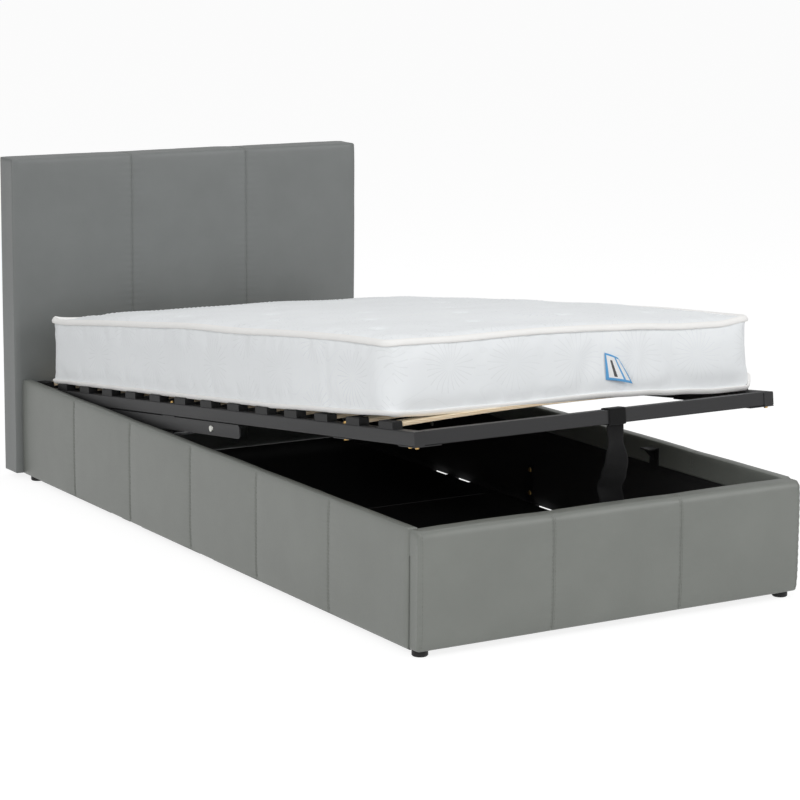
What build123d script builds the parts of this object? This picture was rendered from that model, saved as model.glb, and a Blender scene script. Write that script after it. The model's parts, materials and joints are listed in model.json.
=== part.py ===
"""Upholstered ottoman bed: a padded base with a headboard, and a slatted platform that lifts.

Millimetres, +Z up. X runs across the bed, the foot is at -Y and the headboard at +Y.
The origin is on the floor under the middle of the bed. The platform is drawn part open.
"""

import os
from math import atan2, cos, degrees, hypot, radians, sin

from build123d import *

# Driving sizes of the upholstered base
base_width = 980.0
base_length = 1951.0
base_height = 248.0
glide_height = 15.0
side_thickness = 24.0
foot_thickness = 38.0
pad_thickness = 6.0
flap_thickness = 3.0
flap_height = 55.0
wrap_thickness = 2.0
cover_top_radius = 9.0
cover_foot_radius = 2.5
cover_corner_radius = 14.0
seam_width = 3.0
seam_depth = 2.0
side_panel_count = 6
foot_panel_count = 3

# Driving sizes of the headboard
headboard_width = 1022.0
headboard_height = 825.0
headboard_thickness = 74.0
headboard_pad = 16.0
headboard_wrap = 6.0
headboard_border = 45.0
headboard_edge_radius = 7.0
headboard_cloth = 1.5
headboard_panel_count = 3

# Glides, lining and floor
glide_radius = 17.0
glide_rim = 2.0
glide_inset_across = 25.0
glide_inset_along = 31.0
lining_thickness = 1.0
floor_panel_thickness = 4.0
floor_support_thickness = 8.0
floor_gap = 6.0
floor_side_gap = 18.0
floor_split_share = 0.575
floor_ledge_width = 44.0
floor_ledge_hold = 6.0
floor_batten_width = 70.0
floor_batten_count = 5
floor_joint_gap = 0.3
floor_end_inset = 20.0
ledge_gap_reaches = (943.0, 1314.0, 1423.0)
ledge_gap_length = 66.0

# Steel brackets of the base and their bolts
bracket_thickness = 3.0
bracket_leg = 40.0
bracket_height = 130.0
bracket_foot = 36.0
bracket_bolt_inset = 22.0
bolt_shank_radius = 3.0
bolt_head_radius = 6.5
bolt_head_height = 2.4
bolt_clearance = 0.05
head_taper = 24.0
centre_strap_width = 30.0
centre_strap_height = 96.0
centre_strap_thickness = 2.0
centre_strap_reach = 1007.0
centre_screw_heights = (25.0, 84.0)
rest_width = 32.0
rest_height = 48.0
rest_depth = 30.0
rest_thickness = 3.0
rest_reach = 495.0
rest_gap = 0.5

# Lifting platform
open_angle = 6.35
closed_rail_height = 234.0
pivot_setback = 341.0
platform_side_gap = 6.0
platform_foot_gap = 15.0
platform_head_gap = 20.0
rail_width = 25.0
rail_height = 30.0
rail_wall = 1.5
rail_radius = 2.5
plug_depth = 12.0
plug_face = 1.5
plug_clearance = 0.1
splice_share = 1.37
splice_gap = 0.3
sleeve_length = 160.0
sleeve_wall = 1.5
sleeve_clearance = 0.2
cross_rail_share = 7.47
gusset_size = 64.0
gusset_thickness = 2.0
corner_bolt_reaches = (12.0, 38.0)
gusset_bolt_inset = 49.0
frame_bolt_radius = 3.0
frame_head_radius = 5.5
frame_head_height = 4.0
nut_sides = 6

# Slats and their holders
slat_count = 14
slat_first_reach = 112.0
slat_last_gap = 34.0
slat_width = 50.0
slat_thickness = 8.0
slat_bow = 12.0
slat_edge_radius = 1.5
holder_length = 55.0
holder_depth = 24.0
holder_height = 16.0
holder_wall = 2.5
holder_edge = 1.5
holder_inset = 1.0
pocket_clearance = 0.5

# Lift arms, hinge plates and pivot pins
arm_height = 31.0
arm_thickness = 4.0
arm_gap = 2.0
arm_reach = 802.0
arm_side_gap = 4.0
arm_corner_radius = 8.0
arm_tab_length = 44.0
arm_tab_width = 20.0
arm_tab_thickness = 3.0
arm_tab_reaches = (98.0, 770.0)
arm_pad_inset = 3.0
plate_thickness = 4.0
plate_height = 128.0
plate_top_gap = 16.0
plate_head_reach = 60.0
plate_foot_reach = 262.0
plate_shoulder_reach = 150.0
plate_shoulder_drop = 24.0
plate_heel_rise = 34.0
plate_radius = 14.0
plate_bolt_inset = 20.0
plate_bolt_head_height = 1.6
pin_radius = 6.0
pin_head_radius = 11.0
pin_head_height = 4.0
pin_clearance = 0.05
washer_clearance = 0.3

# Gas struts
strut_base_reach = 214.0
strut_base_drop = 34.0
strut_top_reach = 665.0
strut_inset = 14.0
cylinder_radius = 11.0
cylinder_wall = 1.5
cylinder_start = 24.0
cylinder_end = 236.0
cylinder_cap = 8.0
rod_radius = 5.0
rod_inner_reach = 120.0
rod_eye_gap = 22.0
piston_length = 12.0
piston_clearance = 0.3
eye_radius = 10.0
eye_width = 13.0
eye_neck_radius = 5.5
stud_radius = 5.0
stud_collar_radius = 7.5
stud_cap_thickness = 2.5
stud_head_radius = 8.0
stud_head_height = 2.6
open_pivot_gap = 0.5

# Mattress
mattress_side_inset = 15.0
mattress_head_gap = 60.0
mattress_thickness = 163.0
mattress_foot_gap = 68.0
mattress_crown = 13.0
mattress_corner_radius = 30.0
mattress_tuck = 12.0
mattress_waist = 7.0
mattress_side_sag = 5.0
mattress_edge_rise = 14.0
mattress_clearance = 0.3
crown_inset_shares = (0.08, 0.22, 0.5)
crown_rise_shares = (0.5, 0.85, 1.0)

# Pull strap
strap_width = 44.0
strap_tail_width = 52.0
strap_thickness = 2.0
strap_across = 41.0
strap_clearance = 0.3
strap_tail = 185.0
strap_root = 14.0
strap_drop_shares = (0.0, 0.14, 0.34, 0.52, 0.74, 1.0)
strap_turns = (0.0, 28.0, 74.0, 30.0, -12.0, -4.0)
strap_shift_shares = (0.0, 0.06, 0.16, 0.04, -0.14, -0.12)
strap_width_shares = (0.0, 0.2, 0.4, 0.7, 1.0, 1.0)

cut_overrun = 5.0

# Places worked out from the driving sizes
overall_length = base_length + headboard_thickness
foot_y = -overall_length / 2
headboard_y = foot_y + base_length
back_y = headboard_y + headboard_thickness
side_front_y = foot_y + foot_thickness
side_length = headboard_y - side_front_y
base_bottom = glide_height
base_top = base_bottom + base_height
half_width = base_width / 2
inner_half = half_width - side_thickness
board_inner_half = inner_half + flap_thickness
board_outer_half = half_width - pad_thickness
lining_half = board_inner_half - lining_thickness
foot_board_y = foot_y + pad_thickness
foot_board_inner_y = side_front_y - flap_thickness
foot_lining_y = foot_board_inner_y + lining_thickness
board_bottom = base_bottom + wrap_thickness
board_top = base_top - pad_thickness
flap_bottom = base_top - flap_height
floor_support_bottom = base_bottom - floor_support_thickness
floor_top = base_bottom + floor_panel_thickness

pivot_drop = arm_gap + arm_height / 2
pivot_y = headboard_y - pivot_setback
pivot_z = base_bottom + closed_rail_height - pivot_drop
platform_half_width = inner_half - platform_side_gap
rail_bottom = pivot_drop
rail_top = rail_bottom + rail_height
platform_foot = -(pivot_y - side_front_y - platform_foot_gap)
platform_head = pivot_setback - platform_head_gap
rail_inner_x = platform_half_width - rail_width
rail_mid_x = platform_half_width - rail_width / 2

slat_first = platform_foot + slat_first_reach
slat_last = platform_head - slat_last_gap
slat_pitch = (slat_last - slat_first) / (slat_count - 1)
slat_places = [slat_first + number * slat_pitch for number in range(slat_count)]
splice_place = slat_first + splice_share * slat_pitch
cross_rail_place = slat_first + cross_rail_share * slat_pitch
holder_outer_x = platform_half_width - holder_inset
holder_inner_x = holder_outer_x - holder_depth
slat_end_x = holder_outer_x - holder_wall - pocket_clearance
slat_end_bottom = rail_top + holder_wall + pocket_clearance
pocket_rise = slat_bow * (1 - (holder_inner_x / slat_end_x) ** 2)
pocket_height = slat_thickness + 2 * pocket_clearance + pocket_rise
mattress_bottom = slat_end_bottom + slat_thickness + slat_bow + mattress_clearance
mattress_half_width = platform_half_width - mattress_side_inset
mattress_foot = platform_foot + mattress_foot_gap
mattress_head = platform_head - mattress_head_gap

plate_inner_x = inner_half - plate_thickness
arm_outer_x = plate_inner_x - arm_side_gap
arm_inner_x = arm_outer_x - arm_thickness

strut_across = arm_inner_x - strut_inset
strut_base_y = pivot_y - strut_base_reach
strut_base_z = pivot_z - strut_base_drop
open_turn = radians(open_angle)
deck = Plane(
    origin=(0, pivot_y, pivot_z),
    x_dir=(1, 0, 0),
    z_dir=(0, sin(open_turn), cos(open_turn)),
)
strut_top = deck.from_local_coords((0, -strut_top_reach, 0))
strut_length = hypot(strut_top.Y - strut_base_y, strut_top.Z - strut_base_z)
strut_angle = atan2(strut_top.Z - strut_base_z, strut_base_y - strut_top.Y)
rod_eye_start = strut_length - rod_eye_gap

sides = ((-1, "left"), (1, "right"))


def across(y):
    """The upright plane across the bed at y, facing the foot."""
    return Plane(origin=(0, y, 0), x_dir=(1, 0, 0), z_dir=(0, -1, 0))


def upright(x):
    """The upright plane along the bed at x, with its own x towards the head."""
    return Plane.YZ.offset(x)


def deck_across(along):
    """The plane across the platform at a distance along it from the pivot, facing its foot."""
    return Plane(origin=deck.from_local_coords((0, along, 0)), x_dir=(1, 0, 0), z_dir=-deck.y_dir)


def deck_upright(x):
    """The plane along the platform at x, square to the slats, with its own x towards the head."""
    return Plane(origin=deck.from_local_coords((x, 0, 0)), x_dir=deck.y_dir, z_dir=(1, 0, 0))


def draw_rectangle(x_low, x_high, y_low, y_high, mode=Mode.ADD):
    """Add a rectangle to the open sketch by its limits, in any order."""
    with Locations(((x_low + x_high) / 2, (y_low + y_high) / 2)):
        Rectangle(abs(x_high - x_low), abs(y_high - y_low), mode=mode)


def block(x_low, x_high, y_low, y_high, z_low, z_high, mode=Mode.ADD):
    """A box in the open part, by its limits in the bed's own frame."""
    with BuildSketch(Plane.XY.offset(z_low)) as outline:
        draw_rectangle(x_low, x_high, y_low, y_high)
    extrude(outline.sketch, amount=z_high - z_low, mode=mode)


def deck_block(x_low, x_high, along_low, along_high, low, high, mode=Mode.ADD):
    """A box in the open part, by its limits in the platform's frame."""
    with BuildSketch(deck.offset(low)) as outline:
        draw_rectangle(x_low, x_high, along_low, along_high)
    extrude(outline.sketch, amount=high - low, mode=mode)


def rod_between(plane, radius, low, high, mode=Mode.ADD, taper=0.0):
    """A round bar in the open part, square to a plane, from one height above it to another."""
    with BuildSketch(plane.offset(low)) as outline:
        Circle(radius)
    extrude(outline.sketch, amount=high - low, mode=mode, taper=taper)


def bolt(seat, head_radius, head_height, shank_radius, shank_length):
    """A bolt with a low domed head; the seat's plane faces the way the head stands."""
    rod_between(seat, head_radius, 0, head_height, taper=head_taper)
    rod_between(seat, shank_radius, 0, -shank_length)


def drill(seat, radius, depth):
    """A round hole in the open part, from a plane down against its own direction."""
    rod_between(seat, radius + bolt_clearance, cut_overrun, -depth, mode=Mode.SUBTRACT)


def facing(x, y, z, direction):
    """A plane at a point, facing along a direction."""
    return Plane(origin=(x, y, z), z_dir=direction)


def save(piece, name):
    """Label one finished piece and write its file."""
    piece.part.label = name
    export_step(piece.part, f"parts/{name}.step")


os.makedirs("parts", exist_ok=True)


# Padded panels of the base: boards in covers that fold over the top and a little way down inside
def draw_panel_section(near, far):
    """The upright section of a padded panel, rounded more above than below."""
    draw_rectangle(near, far, base_bottom, base_top)
    fillet(vertices().group_by(Axis.Y)[-1], cover_top_radius)
    fillet(vertices().group_by(Axis.Y)[0], cover_foot_radius)


def cut_panel_seam(plane, outer, board_inner, inner):
    """A stitched groove round the outer face and the top of a panel, in the open part."""
    with BuildSketch(plane.offset(-seam_width / 2)) as groove:
        draw_panel_section(outer, inner)
        offset(amount=-seam_depth, mode=Mode.SUBTRACT)
        draw_rectangle(board_inner, 2 * inner - board_inner, 0, base_top, mode=Mode.SUBTRACT)
        draw_rectangle(outer, inner, 0, board_bottom + seam_depth, mode=Mode.SUBTRACT)
    extrude(groove.sketch, amount=seam_width, mode=Mode.SUBTRACT)


for side, name in sides:
    with BuildPart() as side_cover:
        with BuildSketch(across(headboard_y)):
            draw_panel_section(side * half_width, side * inner_half)
            draw_rectangle(
                side * board_outer_half,
                side * board_inner_half,
                board_bottom,
                board_top,
                mode=Mode.SUBTRACT,
            )
            draw_rectangle(
                side * board_inner_half,
                side * (inner_half - cut_overrun),
                0,
                flap_bottom,
                mode=Mode.SUBTRACT,
            )
        extrude(amount=side_length)
        for panel in range(1, side_panel_count):
            seam_y = foot_y + base_length * panel / side_panel_count
            cut_panel_seam(
                across(seam_y), side * half_width, side * board_inner_half, side * inner_half
            )
    save(side_cover, f"{name}_side_cover")

    with BuildPart() as side_board:
        block(
            side * board_inner_half,
            side * board_outer_half,
            side_front_y,
            headboard_y,
            board_bottom,
            board_top,
        )
    save(side_board, f"{name}_side_board")

with BuildPart() as foot_cover:
    block(-half_width, half_width, foot_y, side_front_y, base_bottom, base_top)
    front_corners = foot_cover.edges().filter_by(Axis.Z).group_by(Axis.Y)[0]
    fillet(front_corners, cover_corner_radius)
    fillet(foot_cover.faces().sort_by(Axis.Z)[-1].edges(), cover_top_radius)
    block(
        -board_outer_half,
        board_outer_half,
        foot_board_y,
        foot_board_inner_y,
        board_bottom,
        board_top,
        mode=Mode.SUBTRACT,
    )
    block(
        -board_outer_half,
        board_outer_half,
        foot_board_inner_y,
        side_front_y + cut_overrun,
        base_bottom - cut_overrun,
        flap_bottom,
        mode=Mode.SUBTRACT,
    )
    for panel in range(1, foot_panel_count):
        seam_x = -half_width + base_width * panel / foot_panel_count
        cut_panel_seam(upright(seam_x), foot_y, foot_board_inner_y, side_front_y)
save(foot_cover, "foot_cover")

with BuildPart() as foot_board:
    block(
        -board_outer_half,
        board_outer_half,
        foot_board_y,
        foot_board_inner_y,
        board_bottom,
        board_top,
    )
save(foot_board, "foot_board")


# Headboard: a board in a padded cover, with a black cloth over its back
headboard_half = headboard_width / 2
headboard_top = base_bottom + headboard_height
core_half = headboard_half - headboard_wrap
core_front_y = headboard_y + headboard_pad
core_back_y = back_y - wrap_thickness
core_top = headboard_top - headboard_wrap
back_half = headboard_half - headboard_border
back_low = base_bottom + headboard_border
back_high = headboard_top - headboard_border

with BuildPart() as headboard_cover:
    block(-headboard_half, headboard_half, headboard_y, back_y, base_bottom, headboard_top)
    rounded = headboard_cover.edges().filter_by(Axis.Z) + headboard_cover.edges().group_by(Axis.Z)[-1]
    fillet(rounded, headboard_edge_radius)
    block(-core_half, core_half, core_front_y, core_back_y, board_bottom, core_top, mode=Mode.SUBTRACT)
    block(
        -back_half,
        back_half,
        core_back_y,
        back_y + cut_overrun,
        back_low,
        back_high,
        mode=Mode.SUBTRACT,
    )
    for panel in range(1, headboard_panel_count):
        seam_x = -headboard_half + headboard_width * panel / headboard_panel_count
        seam_low = seam_x - seam_width / 2
        seam_high = seam_x + seam_width / 2
        block(
            seam_low,
            seam_high,
            headboard_y - cut_overrun,
            headboard_y + seam_depth,
            base_bottom + seam_depth,
            headboard_top + cut_overrun,
            mode=Mode.SUBTRACT,
        )
        block(
            seam_low,
            seam_high,
            headboard_y - cut_overrun,
            back_y - headboard_edge_radius,
            headboard_top - seam_depth,
            headboard_top + cut_overrun,
            mode=Mode.SUBTRACT,
        )
save(headboard_cover, "headboard_cover")

with BuildPart() as headboard_board:
    block(-core_half, core_half, core_front_y, core_back_y, board_bottom, core_top)
save(headboard_board, "headboard_board")

with BuildPart() as headboard_back_cloth:
    block(-back_half, back_half, core_back_y, core_back_y + headboard_cloth, back_low, back_high)
save(headboard_back_cloth, "headboard_back_cloth")


# Glides under the four corners
with BuildPart() as glides:
    with BuildSketch():
        for glide_x in (-half_width + glide_inset_across, half_width - glide_inset_across):
            for glide_y in (foot_y + glide_inset_along, headboard_y - glide_inset_along):
                with Locations((glide_x, glide_y)):
                    Circle(glide_radius)
    extrude(amount=glide_height)
    chamfer(glides.edges().group_by(Axis.Z)[0], glide_rim)
save(glides, "glides")


# Lining on the inner faces of the boards, from the floor up to the covers' flaps
with BuildPart() as inner_lining:
    block(
        -board_inner_half, board_inner_half, foot_board_inner_y, foot_lining_y, base_bottom, flap_bottom
    )
    for side, name in sides:
        block(
            side * lining_half,
            side * board_inner_half,
            side_front_y,
            headboard_y,
            base_bottom,
            flap_bottom,
        )
save(inner_lining, "inner_lining")


# Floor: short ledges under the side panels, battens between them, and panels that lie on both
floor_front_y = foot_board_inner_y
floor_length = headboard_y - floor_front_y
ledge_inner_x = board_inner_half - floor_ledge_width

glide_reach = glide_inset_along + glide_radius + floor_gap
ledge_starts = [foot_y + glide_reach]
ledge_starts += [foot_y + reach + ledge_gap_length / 2 for reach in ledge_gap_reaches]
ledge_ends = [foot_y + reach - ledge_gap_length / 2 for reach in ledge_gap_reaches]
ledge_ends += [headboard_y - glide_reach]
batten_first = floor_front_y + floor_end_inset
batten_pitch = (floor_length - 2 * floor_end_inset - floor_batten_width) / (floor_batten_count - 1)

with BuildPart() as floor_supports:
    for side, name in sides:
        for ledge_start, ledge_end in zip(ledge_starts, ledge_ends):
            block(
                side * ledge_inner_x,
                side * (board_inner_half + floor_ledge_hold),
                ledge_start,
                ledge_end,
                floor_support_bottom,
                base_bottom,
            )
    for number in range(floor_batten_count):
        batten_start = batten_first + number * batten_pitch
        block(
            floor_joint_gap - ledge_inner_x,
            ledge_inner_x - floor_joint_gap,
            batten_start,
            batten_start + floor_batten_width,
            floor_support_bottom,
            base_bottom,
        )
save(floor_supports, "floor_supports")

with BuildPart() as floor_panels:
    floor_half = board_inner_half - floor_side_gap
    split_y = floor_front_y + floor_split_share * floor_length
    panel_ends = (
        (floor_front_y + floor_gap, split_y - floor_gap / 2),
        (split_y + floor_gap / 2, headboard_y - floor_gap),
    )
    for panel_front, panel_back in panel_ends:
        block(-floor_half, floor_half, panel_front, panel_back, base_bottom, floor_top)
save(floor_panels, "floor_panels")


# Corner brackets and their bolts, two through each leg
bracket_bottom = base_bottom + bracket_foot
bracket_top = bracket_bottom + bracket_height
bracket_corners = [
    (side, corner_y, inward)
    for side, name in sides
    for corner_y, inward in ((foot_lining_y, 1), (headboard_y, -1))
]


def bracket_bolt_seats(side, corner_y, inward):
    """The four bolt seats of one corner bracket, facing into the bed."""
    heights = (bracket_bottom + bracket_bolt_inset, bracket_top - bracket_bolt_inset)
    leg_x = side * (lining_half - bracket_thickness)
    leg_y = corner_y + inward * bracket_thickness
    bolt_x = side * (lining_half - bracket_bolt_inset)
    bolt_y = corner_y + inward * bracket_bolt_inset
    along = [facing(leg_x, bolt_y, height, (-side, 0, 0)) for height in heights]
    across_leg = [facing(bolt_x, leg_y, height, (0, inward, 0)) for height in heights]
    return along + across_leg


with BuildPart() as corner_brackets:
    for side, corner_y, inward in bracket_corners:
        block(
            side * (lining_half - bracket_leg),
            side * lining_half,
            corner_y,
            corner_y + inward * bracket_thickness,
            bracket_bottom,
            bracket_top,
        )
        block(
            side * (lining_half - bracket_thickness),
            side * lining_half,
            corner_y,
            corner_y + inward * bracket_leg,
            bracket_bottom,
            bracket_top,
        )
        for seat in bracket_bolt_seats(side, corner_y, inward):
            drill(seat, bolt_shank_radius, bracket_thickness)
save(corner_brackets, "corner_brackets")

with BuildPart() as corner_bolts:
    for side, corner_y, inward in bracket_corners:
        for seat in bracket_bolt_seats(side, corner_y, inward):
            bolt(seat, bolt_head_radius, bolt_head_height, bolt_shank_radius, bracket_thickness)
save(corner_bolts, "corner_bolts")


# Straps at the middle of the side boards, each held by two screws
centre_strap_y = foot_y + centre_strap_reach
centre_strap_x = lining_half - centre_strap_thickness
centre_seats = [
    facing(side * centre_strap_x, centre_strap_y, base_bottom + height, (-side, 0, 0))
    for side, name in sides
    for height in centre_screw_heights
]

with BuildPart() as centre_straps:
    for side, name in sides:
        block(
            side * centre_strap_x,
            side * lining_half,
            centre_strap_y - centre_strap_width / 2,
            centre_strap_y + centre_strap_width / 2,
            floor_top,
            floor_top + centre_strap_height,
        )
    for seat in centre_seats:
        drill(seat, bolt_shank_radius, centre_strap_thickness)
save(centre_straps, "centre_straps")

with BuildPart() as centre_screws:
    for seat in centre_seats:
        bolt(seat, bolt_head_radius, bolt_head_height, bolt_shank_radius, centre_strap_thickness)
save(centre_screws, "centre_screws")


# Rest brackets that the closed platform's side rails come down on
rest_y = foot_y + rest_reach
rest_top = base_bottom + closed_rail_height - rest_gap

with BuildPart() as platform_rests:
    for side, name in sides:
        with BuildSketch(across(rest_y + rest_width / 2)):
            draw_rectangle(
                side * (inner_half - rest_thickness),
                side * inner_half,
                rest_top - rest_height,
                rest_top,
            )
            draw_rectangle(
                side * (inner_half - rest_depth),
                side * inner_half,
                rest_top - rest_thickness,
                rest_top,
            )
        extrude(amount=rest_width)
        with BuildSketch(across(rest_y + rest_thickness / 2)):
            with BuildLine():
                Polyline(
                    (side * (inner_half - rest_thickness), rest_top - rest_thickness),
                    (side * (inner_half - rest_depth), rest_top - rest_thickness),
                    (side * (inner_half - rest_thickness), rest_top - rest_depth),
                    close=True,
                )
            make_face()
        extrude(amount=rest_thickness)
save(platform_rests, "platform_rests")


# Hinge plates on the side panels, with their bolts
plate_top = base_top - plate_top_gap
plate_bottom = plate_top - plate_height
plate_head_y = pivot_y + plate_head_reach
plate_foot_y = pivot_y - plate_foot_reach
plate_shoulder_y = pivot_y - plate_shoulder_reach
plate_bolt_places = (
    (plate_head_y - plate_bolt_inset, plate_top - plate_bolt_inset),
    (plate_head_y - plate_bolt_inset, plate_bottom + plate_bolt_inset),
    (plate_shoulder_y, plate_top - plate_bolt_inset),
    (plate_shoulder_y, plate_bottom + plate_bolt_inset),
    (plate_foot_y + plate_bolt_inset, plate_bottom + plate_heel_rise + plate_bolt_inset),
)


def plate_seats(side):
    """The seats of one hinge plate's bolts, on its inner face."""
    return [facing(side * plate_inner_x, y, z, (-side, 0, 0)) for y, z in plate_bolt_places]


for side, name in sides:
    with BuildPart() as hinge_plate:
        with BuildSketch(upright(side * plate_inner_x)):
            with BuildLine():
                Polyline(
                    (plate_head_y, plate_top),
                    (plate_head_y, plate_bottom),
                    (plate_shoulder_y, plate_bottom),
                    (plate_foot_y, plate_bottom + plate_heel_rise),
                    (plate_foot_y, plate_top - plate_shoulder_drop),
                    (plate_shoulder_y, plate_top),
                    close=True,
                )
            make_face()
            fillet(vertices(), plate_radius)
        extrude(amount=side * plate_thickness)
        for seat in plate_seats(side):
            drill(seat, bolt_shank_radius, plate_thickness)
        drill(
            facing(side * plate_inner_x, pivot_y, pivot_z, (-side, 0, 0)), pin_radius, plate_thickness
        )
        drill(
            facing(side * plate_inner_x, strut_base_y, strut_base_z, (-side, 0, 0)),
            stud_radius,
            plate_thickness,
        )
    save(hinge_plate, f"{name}_hinge_plate")

with BuildPart() as hinge_plate_bolts:
    for side, name in sides:
        for seat in plate_seats(side):
            bolt(
                seat, bolt_head_radius, plate_bolt_head_height, bolt_shank_radius, plate_thickness
            )
save(hinge_plate_bolts, "hinge_plate_bolts")


# Pivot pins: a shank through arm and plate, a washer collar between them and a head inside
with BuildPart() as pivot_pins:
    for side, name in sides:
        seat = facing(side * arm_inner_x, pivot_y, pivot_z, (-side, 0, 0))
        plate_depth = inner_half - arm_inner_x
        collar_start = arm_thickness + washer_clearance
        collar_end = arm_thickness + arm_side_gap
        rod_between(seat, pin_radius, washer_clearance, -plate_depth)
        rod_between(seat, pin_head_radius, -collar_start, -collar_end)
        rod_between(
            seat,
            pin_head_radius,
            washer_clearance,
            washer_clearance + pin_head_height,
            taper=head_taper,
        )
save(pivot_pins, "pivot_pins")


# Lift arms: a bar under each side rail with two tabs that the rail is bolted to
tab_bottom = arm_height / 2 - arm_tab_thickness


def tab_bolt_seats(side):
    """The seats of the bolts under one arm's tabs, facing down."""
    return [
        Plane(
            origin=deck.from_local_coords((side * rail_mid_x, -reach, tab_bottom)),
            x_dir=(1, 0, 0),
            z_dir=-deck.z_dir,
        )
        for reach in arm_tab_reaches
    ]


for side, name in sides:
    with BuildPart() as lift_arm:
        with BuildSketch(deck_upright(side * arm_inner_x)):
            draw_rectangle(-arm_reach, 0, -arm_height / 2, arm_height / 2)
            fillet(vertices().group_by(Axis.X)[0], arm_corner_radius)
            Circle(arm_height / 2)
            Circle(pin_radius + pin_clearance, mode=Mode.SUBTRACT)
            with Locations((-strut_top_reach, 0)):
                Circle(stud_radius + bolt_clearance, mode=Mode.SUBTRACT)
        extrude(amount=side * arm_thickness)
        for reach in arm_tab_reaches:
            deck_block(
                side * (arm_inner_x - arm_tab_width),
                side * arm_inner_x,
                -reach - arm_tab_length / 2,
                -reach + arm_tab_length / 2,
                tab_bottom,
                arm_height / 2,
            )
            deck_block(
                side * (arm_inner_x - arm_tab_width + arm_pad_inset),
                side * (arm_inner_x - arm_pad_inset),
                -reach - arm_tab_length / 2 + arm_pad_inset,
                -reach + arm_tab_length / 2 - arm_pad_inset,
                arm_height / 2,
                rail_bottom,
            )
        for seat in tab_bolt_seats(side):
            drill(seat, frame_bolt_radius, arm_tab_thickness + arm_gap)
    save(lift_arm, f"{name}_lift_arm")


# Platform frame: side rails in two lengths, joined on a sleeve, and three rails between them
def draw_tube(inset, wall):
    """A rail's hollow section, or a sleeve's that lies inside it by an inset."""
    width = rail_width - 2 * inset
    height = rail_height - 2 * inset
    RectangleRounded(width, height, rail_radius - inset)
    inner_radius = max(rail_radius - inset - wall, sleeve_clearance)
    RectangleRounded(width - 2 * wall, height - 2 * wall, inner_radius, mode=Mode.SUBTRACT)


rail_mid_height = (rail_bottom + rail_top) / 2
side_rail_foot = platform_foot + plug_face
side_rail_head = platform_head - plug_face
foot_rail_along = side_rail_foot + rail_width / 2
head_rail_along = side_rail_head - rail_width / 2
gusset_bolt_x = platform_half_width - gusset_bolt_inset
through_bolt_places = [
    (rail_mid_x, splice_place),
    (rail_mid_x, cross_rail_place),
    (gusset_bolt_x, cross_rail_place),
]
corner_screw_places = [(rail_mid_x, platform_foot + reach) for reach in corner_bolt_reaches]
corner_screw_places += [(rail_mid_x, platform_head - reach) for reach in corner_bolt_reaches]
corner_screw_places += [(gusset_bolt_x, head_rail_along)]


def frame_seats(places, height, direction):
    """The seats of bolts through the rails, on both sides, at a height on the platform."""
    return [
        Plane(
            origin=deck.from_local_coords((side * x, along, height)),
            x_dir=(1, 0, 0),
            z_dir=deck.z_dir * direction,
        )
        for side, name in sides
        for x, along in places
    ]


def drill_frame_bolts():
    """Holes for the through bolts, and for the screws that only enter the rails from below."""
    for seat in frame_seats(through_bolt_places, rail_top, 1):
        drill(seat, frame_bolt_radius, rail_height + gusset_thickness + cut_overrun)
    for seat in frame_seats(corner_screw_places, rail_bottom - gusset_thickness, -1):
        drill(seat, frame_bolt_radius, gusset_thickness + rail_wall)


def draw_rail_length(side, foot_end, head_end, inset, wall):
    """One tube along the platform in the open part, between two places from the pivot."""
    with BuildSketch(deck_across(head_end)) as section:
        with Locations((side * rail_mid_x, rail_mid_height)):
            draw_tube(inset, wall)
    extrude(section.sketch, amount=head_end - foot_end)


rail_joint = splice_place + frame_head_radius + cut_overrun
rail_lengths = (
    (side_rail_foot, rail_joint - splice_gap / 2),
    (rail_joint + splice_gap / 2, side_rail_head),
)

for side, name in sides:
    with BuildPart() as side_rail:
        for foot_end, head_end in rail_lengths:
            draw_rail_length(side, foot_end, head_end, 0, rail_wall)
        drill_frame_bolts()
    save(side_rail, f"{name}_side_rail")

with BuildPart() as rail_sleeves:
    for side, name in sides:
        draw_rail_length(
            side,
            rail_joint - sleeve_length / 2,
            rail_joint + sleeve_length / 2,
            rail_wall + sleeve_clearance,
            sleeve_wall,
        )
    drill_frame_bolts()
save(rail_sleeves, "rail_sleeves")

cross_members = (
    ("foot_rail", foot_rail_along),
    ("head_rail", head_rail_along),
    ("middle_rail", cross_rail_place),
)
for name, along in cross_members:
    with BuildPart() as cross_member:
        with BuildSketch(deck_upright(-rail_inner_x)):
            with Locations((along, rail_mid_height)):
                draw_tube(0, rail_wall)
        extrude(amount=2 * rail_inner_x)
        drill_frame_bolts()
    save(cross_member, name)

with BuildPart() as rail_end_plugs:
    for side, name in sides:
        for end, inward in ((platform_foot, 1), (platform_head, -1)):
            with BuildSketch(deck_across(end)):
                with Locations((side * rail_mid_x, rail_mid_height)):
                    RectangleRounded(rail_width, rail_height, rail_radius)
            extrude(amount=-inward * plug_face)
            with BuildSketch(deck_across(end + inward * plug_face)):
                with Locations((side * rail_mid_x, rail_mid_height)):
                    Rectangle(
                        rail_width - 2 * (rail_wall + plug_clearance),
                        rail_height - 2 * (rail_radius + plug_clearance),
                    )
            extrude(amount=-inward * plug_depth)
save(rail_end_plugs, "rail_end_plugs")

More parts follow.
